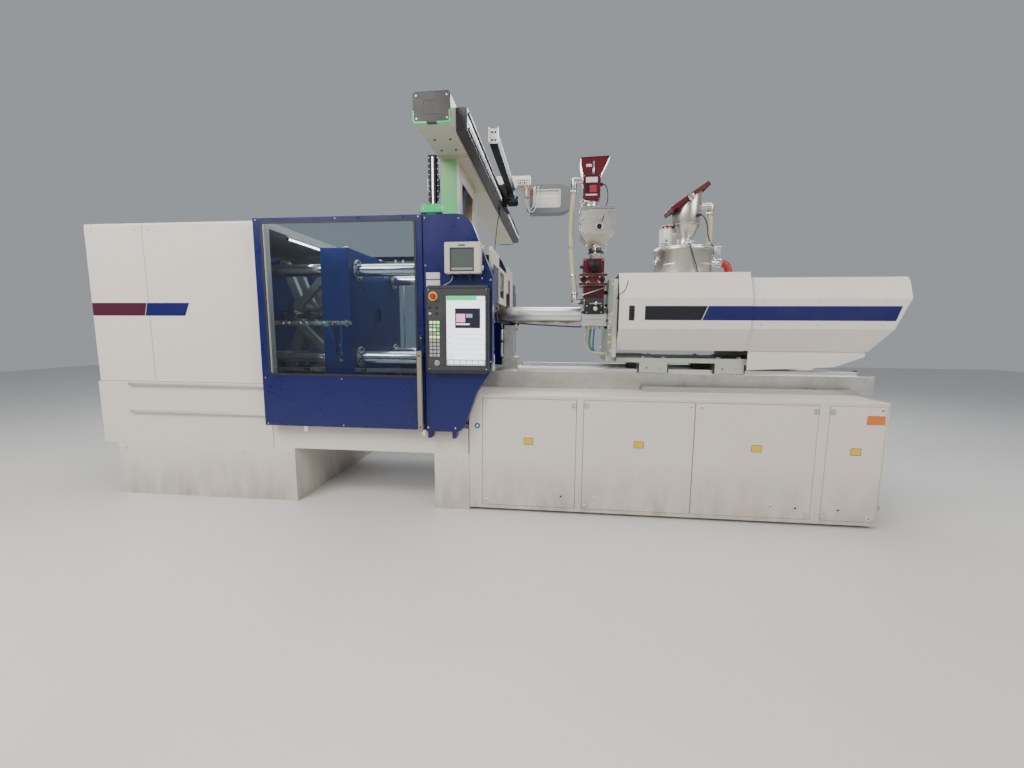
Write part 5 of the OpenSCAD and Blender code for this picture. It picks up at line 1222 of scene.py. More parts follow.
def nozzle_details():
    # terminal block of the nozzle heater, riding on the barrel head
    p = Piece()
    p.box(3051, 3104, 694, 706, 1493, 1561, "white_plastic")
    p.box(3104, 3126, 690, 706, 1500, 1554, "white_plastic")
    p.box(3056, 3100, 704, 722, 1508, 1548, "steel_z")
    for z in (1510, 1527, 1544):
        p.lathe((3064, 694, z), (0, -1, 0), [(0, 5), (2, 5), (3, 3.8)], "steel_z", 18)
        p.lathe((3090, 694, z), (0, -1, 0), [(0, 5), (2, 5), (3, 3.8)], "steel_z", 18)
    p.lathe((3115, 690, 1527), (0, -1, 0), [(0, 9), (5, 9), (6, 8), (12, 7), (12, 4)], "black", 24)
    # nozzle hexagon, heater clamps and thermocouple
    p.lathe((2948, 760, 1465), (1, 0, 0), [(0, 30), (24, 30), (26, 28)], "steel", 6)
    for x in (2982, 3040):
        p.lathe((x, 760, 1465), (1, 0, 0), [(0, 36.5), (0, 39), (28, 39), (28, 36.5)], "stainless", 48, cap=False)
        p.box(x + 3, x + 25, 712, 723, 1457, 1473, "steel_z")
        p.cyl((x + 14, 705, 1465), (x + 14, 724, 1465), 4, "steel_z", 16)
    for x in (3110, 3290, 3470, 3650):
        p.torus((x + 8, 760, 1465), (1, 0, 0), 60.4, 1.6, "steel_z", 48, 8)
        p.torus((x + 132, 760, 1465), (1, 0, 0), 60.4, 1.6, "steel_z", 48, 8)
        p.box(x + 40, x + 100, 748, 772, 1399, 1406, "steel_z")
        p.cyl((x + 70, 760, 1392), (x + 70, 760, 1401), 9, "brass", 20)
    p.torus((3086, 760, 1465), (1, 0, 0), 54, 4, "steel_z", 48, 10)
    p.done("nozzle_fittings", "injection_unit", 0.0006, 1)

    # rail post with a small pneumatic cylinder beside the nozzle, and a bottle on the bed
    p = Piece()
    p.box(3176, 3186, 717, 803, 1012, 1384, "cream")
    p.box(3254, 3264, 717, 803, 1012, 1384, "cream")
    p.box(3186, 3254, 717, 724, 1012, 1384, "cream")
    p.box(3176, 3264, 717, 803, 1376, 1385, "cream")
    for z in (1060, 1340):
        p.lathe((3220, 717, z), (0, -1, 0), [(0, 9), (5, 9), (6, 8), (6, 5), (3, 5)], "steel_z", 20)
    p.done("nozzle_post", ROOT, 0.0012, 2)
    p = Piece()
    p.cyl((3158, 690, 1110), (3158, 690, 1350), 14, "alu", 32)
    p.lathe((3158, 690, 1098), (0, 0, 1), [(0, 17), (14, 17), (16, 15)], "anodised", 4)
    p.lathe((3158, 690, 1342), (0, 0, 1), [(0, 17), (16, 17), (18, 15)], "anodised", 4)
    p.cyl((3158, 690, 1356), (3158, 690, 1386), 5, "chrome", 20)
    p.lathe((3158, 690, 1384), (0, 0, 1), [(0, 9), (10, 9), (12, 7)], "steel_z", 6)
    for z in (1122, 1330):
        p.lathe((3158, 675, z), (0, -1, 0), [(0, 6), (7, 6), (8, 5), (12, 4)], "brass", 6)
        p.box(3168, 3178, 684, 722, z - 6, z + 6, "steel_z")
    p.lathe((3158, 690, 1235), (0, 0, 1), [(0, 15.5), (18, 15.5)], "black_paint", 24)
    p.done("nozzle_cylinder", ROOT, 0.0008, 1)
    p = Piece()
    p.lathe((3110, 470, 1010), (0, 0, 1), [(0, 17), (2, 19), (118, 19), (132, 16), (142, 8), (150, 7.5)], "white_plastic", 36)
    p.lathe((3110, 470, 1158), (0, 0, 1), [(0, 9.5), (16, 9.5), (18, 8), (20, 3.5), (34, 2.5), (35, 1.5)], "white_plastic", 28)
    p.box(3107, 3127, 468, 472, 1188, 1193, "white_plastic")
    p.frame([(3110 + 19.3 * math.cos(math.radians(a)), 470 + 19.3 * math.sin(math.radians(a))) for a in range(0, 360, 15)],
            [(3110 + 18.6 * math.cos(math.radians(a)), 470 + 18.6 * math.sin(math.radians(a))) for a in range(0, 360, 15)], "z", 1040, 1105, "plate")
    p.done("bed_bottle", ROOT, 0.0005, 1)
    # swing stop of the barrel guard with its lever
    p = Piece()
    p.cyl((3290, 700, 1352), (3290, 720, 1352), 11, "steel_z", 24)
    p.rod([(3290, 706, 1352), (3294, 700, 1368), (3300, 692, 1386)], 4, "steel_z", 12)
    p.ball((3301, 690, 1389), 9, "black", 18)
    p.box(3268, 3312, 712, 790, 1340, 1346, "steel_z")
    p.box(3262, 3270, 724, 796, 1340, 1380, "steel_z")
    p.done("guard_stop", ROOT, 0.0006, 1)


nozzle_details()


def throat_details():
    p = Piece()
    # cooled throat block: plate screws, water nipples and a thermocouple
    for x in (3876, 4003):
        for z in (1395, 1462):
            p.lathe((x, 690, z), (0, -1, 0), [(0, 7.5), (6, 7.5), (7, 6.6), (7, 4), (3, 4)], "steel_z", 20)
    for x, m in ((3884, "brass"), (3920, "brass"), (3958, "brass"), (3994, "brass")):
        p.lathe((x, 724, 1378), (0, 0, -1), [(0, 13), (4, 13), (5, 9), (14, 9), (15, 7), (22, 7)], m, 6)
    p.lathe((3866, 742, 1420), (-1, 0, 0), [(0, 10), (6, 10), (8, 7), (26, 6), (27, 4)], "steel_z", 20)
    for x in (3868, 4010):
        p.box(x - 5, x + 5, 686, 691, 1384, 1474, "grey_cast")
    # dark adapter on the throat with its bright knob
    p.box(3868, 4012, 664, 671, 1484, 1556, "black_paint")
    p.lathe((3951, 664, 1524), (0, -1, 0), [(0, 8), (6, 8), (7, 14), (10, 18), (17, 19), (23, 16), (26, 9)], "white_plastic", 36)
    for x in (3880, 4000):
        for z in (1494, 1546):
            p.lathe((x, 664, z), (0, -1, 0), [(0, 6), (4, 6), (5, 5), (5, 3)], "steel_z", 18)
    # folded cover sheet that carries the barrel guard's line on past the throat
    p.prism([(688, 1483), (680, 1479), (680, 1440), (672, 1434), (672, 1384), (682, 1379), (683, 1380.5), (674, 1385), (674, 1433), (682, 1439), (682, 1478), (689, 1481.5)], "x", 3840, 4050, "guard")
    for x in (3856, 3945, 4034):
        p.lathe((x, 672, 1410), (0, -1, 0), [(0, 5), (1.6, 5), (2.4, 3.8)], "steel_z", 18)
    p.done("throat_fittings", "injection_unit", 0.0006, 1)
    p = Piece()
    p.box(4030, 4042, 520, 620, 1141, 1172, "alu")
    for y in (538, 566, 594):
        p.lathe((4030, y, 1157), (-1, 0, 0), [(0, 9), (8, 9), (9, 7), (14, 7)], "brass", 6)
    p.box(4042, 4056, 540, 600, 1141, 1152, "steel_z")
    p.done("water_manifold", "injection_unit", 0.0008, 1)
    mats = (("cool_hose_cream", "hose_plain", 3884, 538, 24, 0), ("cool_hose_green", "hose_green", 3920, 566, 20, 20), ("cool_hose_blue", "hose_blue", 3950, 594, 13, 38))
    for name, m, x, y, d, k in mats:
        if d > 16:
            cord(name, [(x, 724, 1356), (x - 2, 722, 1325), (x - 12 + k * 0.2, 712, 1280), (x - 20 + k * 0.3, 690, 1235), (x - 8 + k * 0.3, 655, 1195), (x + 20, 620, 1168), (x + 52 - k * 0.5, (y + 600) / 2, 1156), (4004, y, 1156), (4016, y, 1157)],
                 d, m, "injection_unit", relax=90)
        else:
            cord(name, [(x, 724, 1356), (x, 723, 1330), (x - 2, 717, 1300), (x - 5, 706, 1268), (x - 8, 689, 1236), (x - 9, 668, 1208), (x - 6, 645, 1185), (x + 2, 623, 1169), (x + 16, 606, 1160), (x + 34, 597, 1157), (x + 50, y, 1157), (4016, y, 1157)],
                 d, m, "injection_unit", relax=12)
    # black cable of the heater bands, hanging under the barrel guard
    cord("band_cable", [(3116, 704, 1514), (3120, 692, 1510), (3128, 676, 1494), (3142, 664, 1458), (3175, 660, 1424), (3260, 660, 1404), (3380, 662, 1394), (3480, 664, 1388), (3600, 668, 1382), (3720, 676, 1376), (3820, 690, 1372), (3846, 706, 1382), (3852, 718, 1398), (3852, 728, 1410)],
         11, "cable", "injection_unit")


throat_details()


# ------------------------------------------------------------------ material feed over the throat
def feed_details():
    p = Piece()
    # loader body: blank strip, grey field with a red square, lower strip
    y = CY - 70
    p.prism(rr(3836, 3956, 2418, 2596, 4), "y", y - 1.4, y + 0.3, "wine")
    p.box(3847, 3941, y - 2.4, y - 1.2, 2542, 2584, "plate")
    p.box(3847, 3941, y - 2.4, y - 1.2, 2461, 2534, "anodised")
    p.prism(rr(3878, 3936, 2466, 2522, 3), "y", y - 3.2, y - 2.2, "label_red")
    p.box(3847, 3941, y - 2.4, y - 1.2, 2440, 2452, "plate")
    for x in (3834, 3958):
        for z in (2412, 2596):
            p.lathe((x, y, z), (0, -1, 0), [(0, 5), (2, 5), (3, 3.6)], "steel_z", 16)
    # seam bead and feet
    p.box(3822, 3970, y - 3, CY + 73, 2600, 2606, "black_paint")
    p.torus((HX - 54, CY, 2345), (0, 0, 1), 63, 3.4, "chrome", 48, 8)
    p.torus((HX - 54, CY, 2398), (0, 0, 1), 63, 3.0, "chrome", 48, 8)
    # clamp ring of the loader foot with its lever
    p.box(HX - 62, HX - 46, CY - 84, CY - 62, 2358, 2386, "steel_z")
    p.cyl((HX - 54, CY - 96, 2372), (HX - 54, CY - 62, 2372), 5, "chrome", 16)
    p.rod([(HX - 54, CY - 92, 2372), (HX - 78, CY - 88, 2384), (HX - 104, CY - 80, 2398), (HX - 116, CY - 76, 2384), (HX - 112, CY - 76, 2366)], 4, "chrome", 12)
    # loader: rear motor, filter cup, valve
    p.lathe((HX - 54, CY + 70, 2510), (0, 1, 0), [(0, 52), (6, 58), (52, 58), (60, 50), (62, 20)], "anodised", 40)
    for i in range(10):
        t = 2 * math.pi * i / 10
        p.box(HX - 54 + 44 * math.cos(t) - 3, HX - 54 + 44 * math.cos(t) + 3, CY + 130, CY + 133, 2510 + 44 * math.sin(t) - 3, 2510 + 44 * math.sin(t) + 3, "black_paint")
    p.cyl((HX + 16, CY - 20, 2540), (HX + 40, CY - 20, 2540), 14, "black", 24)
    p.lathe((HX - 200, 700, 2484), (0, 0, -1), [(0, 25.5), (0, 28.5), (22, 28.5), (22, 25.5)], "chrome", 40, cap=False)
    p.box(HX - 208, HX - 192, 664, 676, 2464, 2482, "chrome")
    p.torus((HX - 130, 700, 2560), (1, 0, 0), 27, 3.4, "chrome", 32, 8)
    p.done("loader_fittings", "injection_unit", 0.0006, 1)

    # head: latch, strap, hinge and the folded top rim
    p = Piece()
    y = CY - 74
    p.prism([(HX - 144, 2732), (HX + 80, 2738), (HX + 86, 2744), (HX - 148, 2738)], "y", y - 3.5, y + 0.4, "wine")
    p.box(3900, 3913, y - 4, y + 0.2, 2606, 2706, "steel_z")
    p.box(3902, 3911, y - 9, y - 3, 2640, 2700, "chrome")
    p.rod([(3902, y - 7, 2660), (3901, y - 10, 2640), (3903, y - 11, 2622), (3910, y - 11, 2622), (3912, y - 10, 2640), (3911, y - 7, 2660)], 2.4, "chrome", 10)
    p.box(3899, 3914, y - 12, y - 3, 2611, 2620, "chrome")
    for z in (2684, 2696):
        p.lathe((3906.5, y - 9, z), (0, -1, 0), [(0, 3), (1.4, 3), (2, 2)], "steel_z", 14)
    p.prism(rr(3846, 3890, 2662, 2684, 4), "y", y - 1.4, y + 0.3, "plate")
    for x in (HX - 122, HX + 14):
        p.box(x - 4, x + 4, CY - 70, CY + 70, 2606, 2609, "black_paint")
    # pressed ribs of the head
    p.prism([(HX + 24, 2620), (HX + 30, 2620), (HX + 78, 2728), (HX + 72, 2728)], "y", y - 2.0, y + 0.3, "wine")
    p.prism([(HX - 138, 2700), (HX - 132, 2700), (HX - 122, 2618), (HX - 128, 2618)], "y", y - 2.0, y + 0.3, "wine")
    p.box(HX - 142, HX + 76, CY - 66, CY + 66, 2737, 2741, "black_paint")
    p.done("head_latch", "loader_head", 0.0006, 1)

    # hopper: rim, sight glass, latches and corner seams
    p = Piece()
    hw = 135
    for a in (CY - hw - 9.6, CY + hw + 6.4):
        p.box(HX - hw - 10, HX + hw + 10, a, a + 3.2, 2318, 2331, "chrome")
    for a in (HX - hw - 9.6, HX + hw + 6.4):
        p.box(a, a + 3.2, CY - hw - 10, CY + hw + 10, 2318, 2331, "chrome")
    p.lathe((HX + 10, CY - hw - 6, 2178), (0, -1, 0), [(0, 22), (0, 31), (4, 31), (6, 28), (6, 22), (3, 21)], "steel_z", 44, cap=False)
    p.lathe((HX + 10, CY - hw - 6, 2178), (0, -1, 0), [(1.6, 22), (2.2, 22)], "glass_dark", 44)
    for k in range(6):
        t = math.radians(60 * k + 30)
        p.lathe((HX + 10 + 27 * math.cos(t), CY - hw - 11.6, 2178 + 27 * math.sin(t)), (0, -1, 0), [(0, 2.6), (1.4, 2.6), (2, 1.8)], "steel_z", 12)
    # toggle latches and the hinge chain on the left edge
    for z in (2302, 2236, 2170):
        p.box(HX - hw - 8, HX - hw + 0.3, CY - hw + 10, CY - hw + 36, z - 22, z + 22, "steel_z")
        p.rod([(HX - hw - 9, CY - hw + 14, z - 20), (HX - hw - 16, CY - hw + 14, z), (HX - hw - 9, CY - hw + 14, z + 22), (HX - hw - 9, CY - hw + 32, z + 22), (HX - hw - 16, CY - hw + 32, z), (HX - hw - 9, CY - hw + 32, z - 20)], 3.2, "chrome", 10)
        p.cyl((HX - hw - 8, CY - hw + 6, z - 18), (HX - hw - 8, CY - hw + 40, z - 18), 5, "chrome", 18)
    p.torus((HX - hw + 4, CY - hw - 4, 2372), (0, 1, 0), 15, 3.6, "chrome", 32, 10)
    p.box(HX - hw - 2, HX - hw + 10, CY - hw - 6, CY - hw + 8, 2340, 2358, "steel_z")
    p.rod([(HX - hw + 4, CY - hw - 4, 2357), (HX - hw - 2, CY - hw - 6, 2348), (HX - hw - 8, CY - hw - 4, 2330), (HX - hw - 8, CY - hw + 6, 2322)], 3, "chrome", 10)
    # bends at the cone corners
    for sx in (-1, 1):
        p.rod([(HX + sx * (hw - 1), CY - hw + 0.5, 2124), (HX + sx * 98, CY - 98, 2082), (HX + sx * 61, CY - 60, 2040)], 2.2, "stainless", 10)
    # clamp ring under the cone with swing bolts
    p.torus((HX, CY, 2036), (0, 0, 1), 60, 5, "chrome", 48, 10)
    p.torus((HX, CY, 1968), (0, 0, 1), 58, 4, "steel_z", 48, 10)
    p.cyl((HX, CY, 1986), (HX, CY, 2024), 66, "black_paint", 48)
    p.torus((HX - 12, CY - 76, 2034), (0, 1, 0), 12, 3.2, "chrome", 28, 10)
    p.cyl((HX - 12, CY - 76, 1984), (HX - 12, CY - 76, 2022), 4.2, "chrome", 16)
    p.lathe((HX - 12, CY - 76, 1980), (0, 0, 1), [(0, 10), (7, 10), (8, 8)], "steel_z", 6)
    for sx, k in ((-1, 0), (1, 6)):
        p.rod([(HX + sx * 66, CY - 20, 1990 + k), (HX + sx * 78, CY - 30, 2012 + k), (HX + sx * 82, CY - 34, 2040 + k), (HX + sx * 76, CY - 32, 2064 + k), (HX + sx * 66, CY - 28, 2080 + k)], 4, "chrome", 12)
        p.cyl((HX + sx * 60, CY - 22, 1998), (HX + sx * 74, CY - 22, 1998), 7, "steel_z", 18)
    p.lathe((HX + 46, CY - 84, 2004), (0, -1, 0), [(-24, 5), (0, 5), (1, 12), (9, 13), (12, 9)], "chrome", 24)
    p.done("hopper_fittings", "injection_unit", 0.0006, 1)

    # dosing unit: flange bolts, cast ribs, drive cap, sight slot
    p = Piece()
    for z0, z1 in ((1735, 1748), (1777, 1790)):
        for x in (HX - 122, HX - 76, HX + 28, HX + 74):
            p.lathe((x, CY - 98, z0), (0, 0, 1), [(0, 8), (z1 - z0, 8)], "steel_z", 6)
    for z in (1714.5, 1735.3, 1789.6, 1808.3):
        p.frame([(HX - 139, CY - 111), (HX + 91, CY - 111), (HX + 91, CY + 111), (HX - 139, CY + 111)],
                [(HX - 132, CY - 104), (HX + 84, CY - 104), (HX + 84, CY + 104), (HX - 132, CY + 104)], "z", z - 0.9, z + 0.9, "chrome")
    for k in range(12):
        t = math.radians(15 + 30 * k)
        x, y = HX - 20 + 101 * math.cos(t), CY + 101 * math.sin(t)
        dx, dy = 3 * math.sin(t), 3 * math.cos(t)
        p.prism([(x - dx, y + dy), (x + dx, y - dy), (x + dx + 5 * math.cos(t), y - dy + 5 * math.sin(t)), (x - dx + 5 * math.cos(t), y + dy + 5 * math.sin(t))], "z", 1737, 1788, "wine")
    p.lathe((HX - 20, CY - 150, 1870), (0, -1, 0), [(0, 38), (2, 42), (5, 42), (9, 36), (10, 14), (15, 13), (16, 9)], "anodised", 40)
    for k in range(6):
        t = math.radians(60 * k)
        p.lathe((HX - 20 + 36 * math.cos(t), CY - 154, 1870 + 36 * math.sin(t)), (0, -1, 0), [(0, 3.4), (1.6, 3.4), (2.4, 2.6)], "steel_z", 14)
    p.box(HX - 100, HX - 78, CY - 84, CY - 79.5, 1822, 1922, "wine")
    p.box(HX + 38, HX + 60, CY - 84, CY - 79.5, 1822, 1922, "wine")
    for x in (HX - 92, HX + 52):
        for z in (1820, 1924):
            p.lathe((x, CY - 84 if z != 1820 else CY - 80, z), (0, -1, 0), [(0, 6), (3, 6), (4, 5)], "steel_z", 6)
    p.lathe((HX - 105, CY, 1880), (-1, 0, 0), [(0, 20), (6, 20), (7, 14), (26, 14), (28, 10)], "black", 28)
    # glossy side plates and tie rods of the lower housing
    for x in (HX - 96, HX + 60):
        p.box(x - 2, x + 10, CY - 90, CY - 84, 1622, 1708, "wine")
    p.cyl((HX - 112, CY - 94, 1636), (HX + 82, CY - 94, 1700), 4.5, "steel_z", 16)
    p.lathe((HX - 118, CY - 94, 1634), (1, 0, 0.33), [(0, 9), (8, 9), (9, 7)], "steel_z", 6)
    p.box(HX - 60, HX + 36, CY - 88, CY - 84.5, 1640, 1690, "wine")
    p.box(HX - 52, HX + 28, CY - 89.4, CY - 87.8, 1648, 1682, "glass_dark")
    p.cyl((HX + 70, CY - 40, 1660), (HX + 96, CY - 40, 1660), 16, "anodised", 28)
    p.lathe((HX + 96, CY - 40, 1660), (1, 0, 0), [(0, 7), (5, 7), (6, 18), (14, 19), (18, 12)], "black", 28)
    p.lathe((HX - 176, 700, 1658), (0, 0, 1), [(-20, 25.5), (-20, 28.5), (0, 28.5), (0, 25.5)], "chrome", 40, cap=False)
    p.box(HX - 184, HX - 168, 664, 676, 1640, 1658, "chrome")
    p.torus((HX - 92, 700, 1585), (1, 0, 0), 27, 3.4, "chrome", 32, 8)
    p.lathe((HX - 134, 672, 1585), (0, -1, 0), [(0, 12), (6, 12), (7, 8), (18, 7)], "chrome", 24)
    p.done("doser_fittings", "injection_unit", 0.0006, 1)

    feed = [(3750, 700, 2480), (3750, 700, 2450), (3744, 700, 2380), (3737, 700, 2290), (3734, 700, 2190), (3735, 700, 2090), (3740, 700, 1990), (3748, 700, 1890), (3758, 700, 1800), (3769, 700, 1725), (3774, 700, 1685), (3774, 700, 1660)]
    cord("feed_hose", feed, 44, "hose", "injection_unit", replaces="loader_hoses")
    p = Piece()
    p.lathe((3735.4, 700, 2030), (0, 0, 1), [(-7, 22.5), (-7, 25), (7, 25), (7, 22.5)], "chrome", 40, cap=False)
    p.box(3726, 3745, 668, 678, 2024, 2036, "chrome")
    p.cyl((3724, 672, 2030), (3754, 672, 2030), 3.4, "steel_z", 14)
    p.lathe((3758, 700, 1800), (-0.11, 0, 1), [(-7, 22.5), (-7, 24.6), (7, 24.6), (7, 22.5)], "chrome", 40, cap=False)
    p.done("feed_hose_clamps", "injection_unit", 0.0004, 1)
    # pull wire and small hose between loader and hopper
    cord("loader_air_hose", [(3990, 740, 2540), (4006, 738, 2536), (4024, 730, 2500), (4030, 712, 2430), (4020, 690, 2370), (4004, 664, 2336), (3998, 640, 2300), (3990, 622, 2250), (3978, 616, 2214)], 8, "cable", "injection_unit")


feed_details()


# ------------------------------------------------------------------ drum hopper and its loader
def drum_details():
    p = Piece()
    r = 225
    p.torus((DXC, CY, 2003), (0, 0, 1), r + 9, 6.5, "chrome", 96, 12)
    p.torus((DXC, CY, 1984), (0, 0, 1), r + 3, 3.0, "stainless", 96, 8)
    p.torus((DXC, CY, 1812), (0, 0, 1), r + 1, 3.5, "stainless", 96, 8)
    # toggle clamps round the rim
    for deg in (200, 340, 268, 30, 150):
        t = math.radians(deg)
        cx_, cy_ = DXC + (r + 2) * math.cos(t), CY + (r + 2) * math.sin(t)
        u = Vector((math.cos(t), math.sin(t), 0))
        v = Vector((-math.sin(t), math.cos(t), 0))
        if deg == 268:
            continue

        def q(a, b_, z):
            w = Vector((cx_, cy_, 0)) + u * a + v * b_
            return (w.x, w.y, z)
        p.prism([q(-2, -13, 0)[:2], q(5, -13, 0)[:2], q(5, 13, 0)[:2], q(-2, 13, 0)[:2]], "z", 1912, 1952, "steel_z")
        p.rod([q(6, -9, 1924), q(16, -9, 1950), q(20, -9, 1990), q(14, -9, 2012), q(14, 9, 2012), q(20, 9, 1990), q(16, 9, 1950), q(6, 9, 1924)], 3, "chrome", 10)
        p.rod([q(8, 0, 1930), q(20, 0, 1908), q(24, 0, 1880)], 5, "chrome", 12)
    # outlet: silver pipe collar, clamp and red elbow down to the cover
    p.lathe((4886, CY, 1900), (1, 0, 0), [(0, 40), (7, 40), (8, 32)], "steel_z", 40)
    for x in (4948, 4962):
        p.torus((x, CY, 1900), (1, 0, 0), 32, 3.2, "chrome", 36, 8)
    p.box(4946, 4964, CY - 46, CY - 30, 1892, 1908, "chrome")
    p.rod([(4962, CY, 1900), (4986, CY, 1897), (5010, CY, 1882), (5026, CY, 1856), (5032, CY, 1822), (5033, CY, 1786), (5033, CY, 1742)], 29, "hose_red", 28)
    p.lathe((5033, CY, 1739), (0, 0, 1), [(0, 44), (8, 44), (10, 40), (10, 31), (34, 31), (34, 29)], "steel_z", 40)
    # level switch box at the rim
    p.box(4903, 4955, 742, 792, 1962, 2032, "grey_cast")
    p.box(4899, 4959, 738, 796, 2026, 2034, "alu")
    p.cyl((4878, 767, 1990), (4905, 767, 1990), 11, "brass", 24)
    for x in (4909, 4949):
        p.lathe((x, 742, 2018), (0, -1, 0), [(0, 4), (1.6, 4), (2.4, 3)], "steel_z", 14)
    # lifting handles of the drum
    for sx in (-1, 1):
        t = math.radians(270 + sx * 38)
        x, y = DXC + r * math.cos(t), CY + r * math.sin(t)
        ux, uy = math.cos(t), math.sin(t)
        vx, vy = -math.sin(t), math.cos(t)
        p.rod([(x - 42 * vx + ux * 1, y - 42 * vy + uy * 1, 1868), (x - 42 * vx + ux * 20, y - 42 * vy + uy * 20, 1868), (x - 34 * vx + ux * 28, y - 34 * vy + uy * 28, 1868), (x + 34 * vx + ux * 28, y + 34 * vy + uy * 28, 1868), (x + 42 * vx + ux * 20, y + 42 * vy + uy * 20, 1868), (x + 42 * vx + ux * 1, y + 42 * vy + uy * 1, 1868)], 5, "chrome", 12)
    # dome over the outlet of the loader
    p.lathe((4690, 694, 2008), (0, 0, 1), [(0, 66), (3, 67), (14, 66), (30, 61), (46, 51), (58, 38), (66, 22), (69, 6)], "alu", 48)
    p.torus((4690, 694, 2010), (0, 0, 1), 66, 3, "steel_z", 48, 8)
    p.torus((LX, CY, 2202), (0, 0, 1), 110.5, 3, "stainless", 72, 8)
    p.torus((LX, CY, 2086), (0, 0, 1), 54, 4, "chrome", 48, 8)
    # filter pod: white barrel, red cap, drain and bracket
    p.lathe((LX - 150, CY, 2052), (0, 0, 1), [(0, 20), (4, 38), (8, 43.2), (122, 43.2), (126, 41)], "white_plastic", 48)
    p.lathe((LX - 150, CY, 2176), (0, 0, 1), [(0, 46), (14, 47), (24, 42), (30, 28), (32, 9)], "wine", 48)
    p.torus((LX - 150, CY, 2176), (0, 0, 1), 45.5, 3, "chrome", 44, 8)
    p.lathe((LX - 158, CY - 43, 2078), (0, -1, 0), [(-4, 9), (2, 9), (3, 7), (3, 4), (-1, 4)], "black", 24)
    p.rod([(LX - 150, CY, 2052), (LX - 150, CY, 2036), (LX - 150, CY, 2012)], 12, "steel_z", 16)
    p.box(LX - 206, LX - 192, CY - 8, CY + 8, 2010, 2172, "white_plastic")
    p.box(LX - 198, LX - 186, CY - 6, CY + 6, 2160, 2172, "steel_z")
    # hose clamps and the cap of the side pipe
    p.lathe((LX + 190, CY, 2304), (0, 0, -1), [(0, 26.4), (0, 29.4), (20, 29.4), (20, 26.4)], "chrome", 40, cap=False)
    p.box(LX + 182, LX + 198, CY - 42, CY - 28, 2286, 2302, "chrome")
    p.torus((LX + 112, CY, 2352), (1, 0, 0), 28, 3.4, "chrome", 36, 8)
    p.lathe((LX + 190, CY, 2010), (0, 0, 1), [(0, 36), (6, 36), (8, 27), (34, 27), (34, 22.5)], "steel_z", 40, cap=False)
    # level probe on the cylinder
    p.lathe((LX + 60, CY - 92, 2260), (0.55, -0.84, 0), [(0, 14), (8, 14), (9, 11), (30, 11), (34, 8)], "black", 28)
    p.done("drum_fittings", "injection_unit", 0.0006, 1)
    drum = [(4862, 760, 2300), (4862, 760, 2275), (4865, 760, 2215), (4866, 760, 2155), (4865, 760, 2095), (4862, 760, 2035), (4862, 760, 2016)]
    cord("drum_hose", drum, 44, "hose", "injection_unit", replaces="loader_hoses")
    # lid: dark seal under it, hinge, latch and turned-down edge
    p = Piece()
    A = math.radians(35)
    o = Vector((LX - 130, CY, 2308))

    def L(a, b_, c):
        # the slanted lid's own axes: a along the slope, b across, c out of the lid
        return tuple(o + Vector((math.cos(A) * a - math.sin(A) * c, b_, math.sin(A) * a + math.cos(A) * c)))

    def slab(a0, a1, b0, b1, c0, c1, m):
        v = [L(a, b_, c) for a in (a0, a1) for b_ in (b0, b1) for c in (c0, c1)]
        p.poly(v, [(0, 1, 3, 2), (4, 6, 7, 5), (0, 4, 5, 1), (2, 3, 7, 6), (0, 2, 6, 4), (1, 5, 7, 3)], m)
    slab(-10, 322, -121, 121, 22, 25, "wine")
    slab(-14, -11, -125, 125, -12, 1, "wine")
    slab(323, 326, -125, 125, -12, 1, "wine")
    slab(-10, 322, -125, -122, -10, 1, "wine")
    slab(-10, 322, 122, 125, -10, 1, "wine")
    slab(130, 182, -134, -124, -26, 14, "steel_z")
    slab(148, 164, -140, -133, -34, 20, "chrome")
    slab(60, 100, -30, 30, 24.5, 27, "plate")
    slab(200, 262, -16, 16, 24.5, 34, "anodised")
    for a in (10, 300):
        for b_ in (-105, 105):
            p.lathe(L(a, b_, 25), Vector(L(0, 0, 1)) - o, [(0, 7), (3, 7), (4, 5)], "steel_z", 16)
    p.done("lid_fittings", "loader_lid", 0.0006, 1)
    cord("drum_cable", [(4530, 716, 2042), (4540, 704, 2034), (4570, 660, 2024), (4612, 580, 2018), (4638, 530, 2016), (4645, 514, 2004), (4654, 514, 1984), (4672, 520, 1936), (4692, 522, 1884), (4706, 524, 1842), (4716, 530, 1806), (4722, 544, 1784)],
         7, "cable", "injection_unit")
    cord("loader_cable", [(4750, 664, 2262), (4766, 652, 2256), (4792, 656, 2230), (4822, 690, 2180), (4842, 726, 2120), (4868, 742, 2066), (4888, 750, 2044), (4903, 756, 2028)],
         8, "cable", "injection_unit")


drum_details()


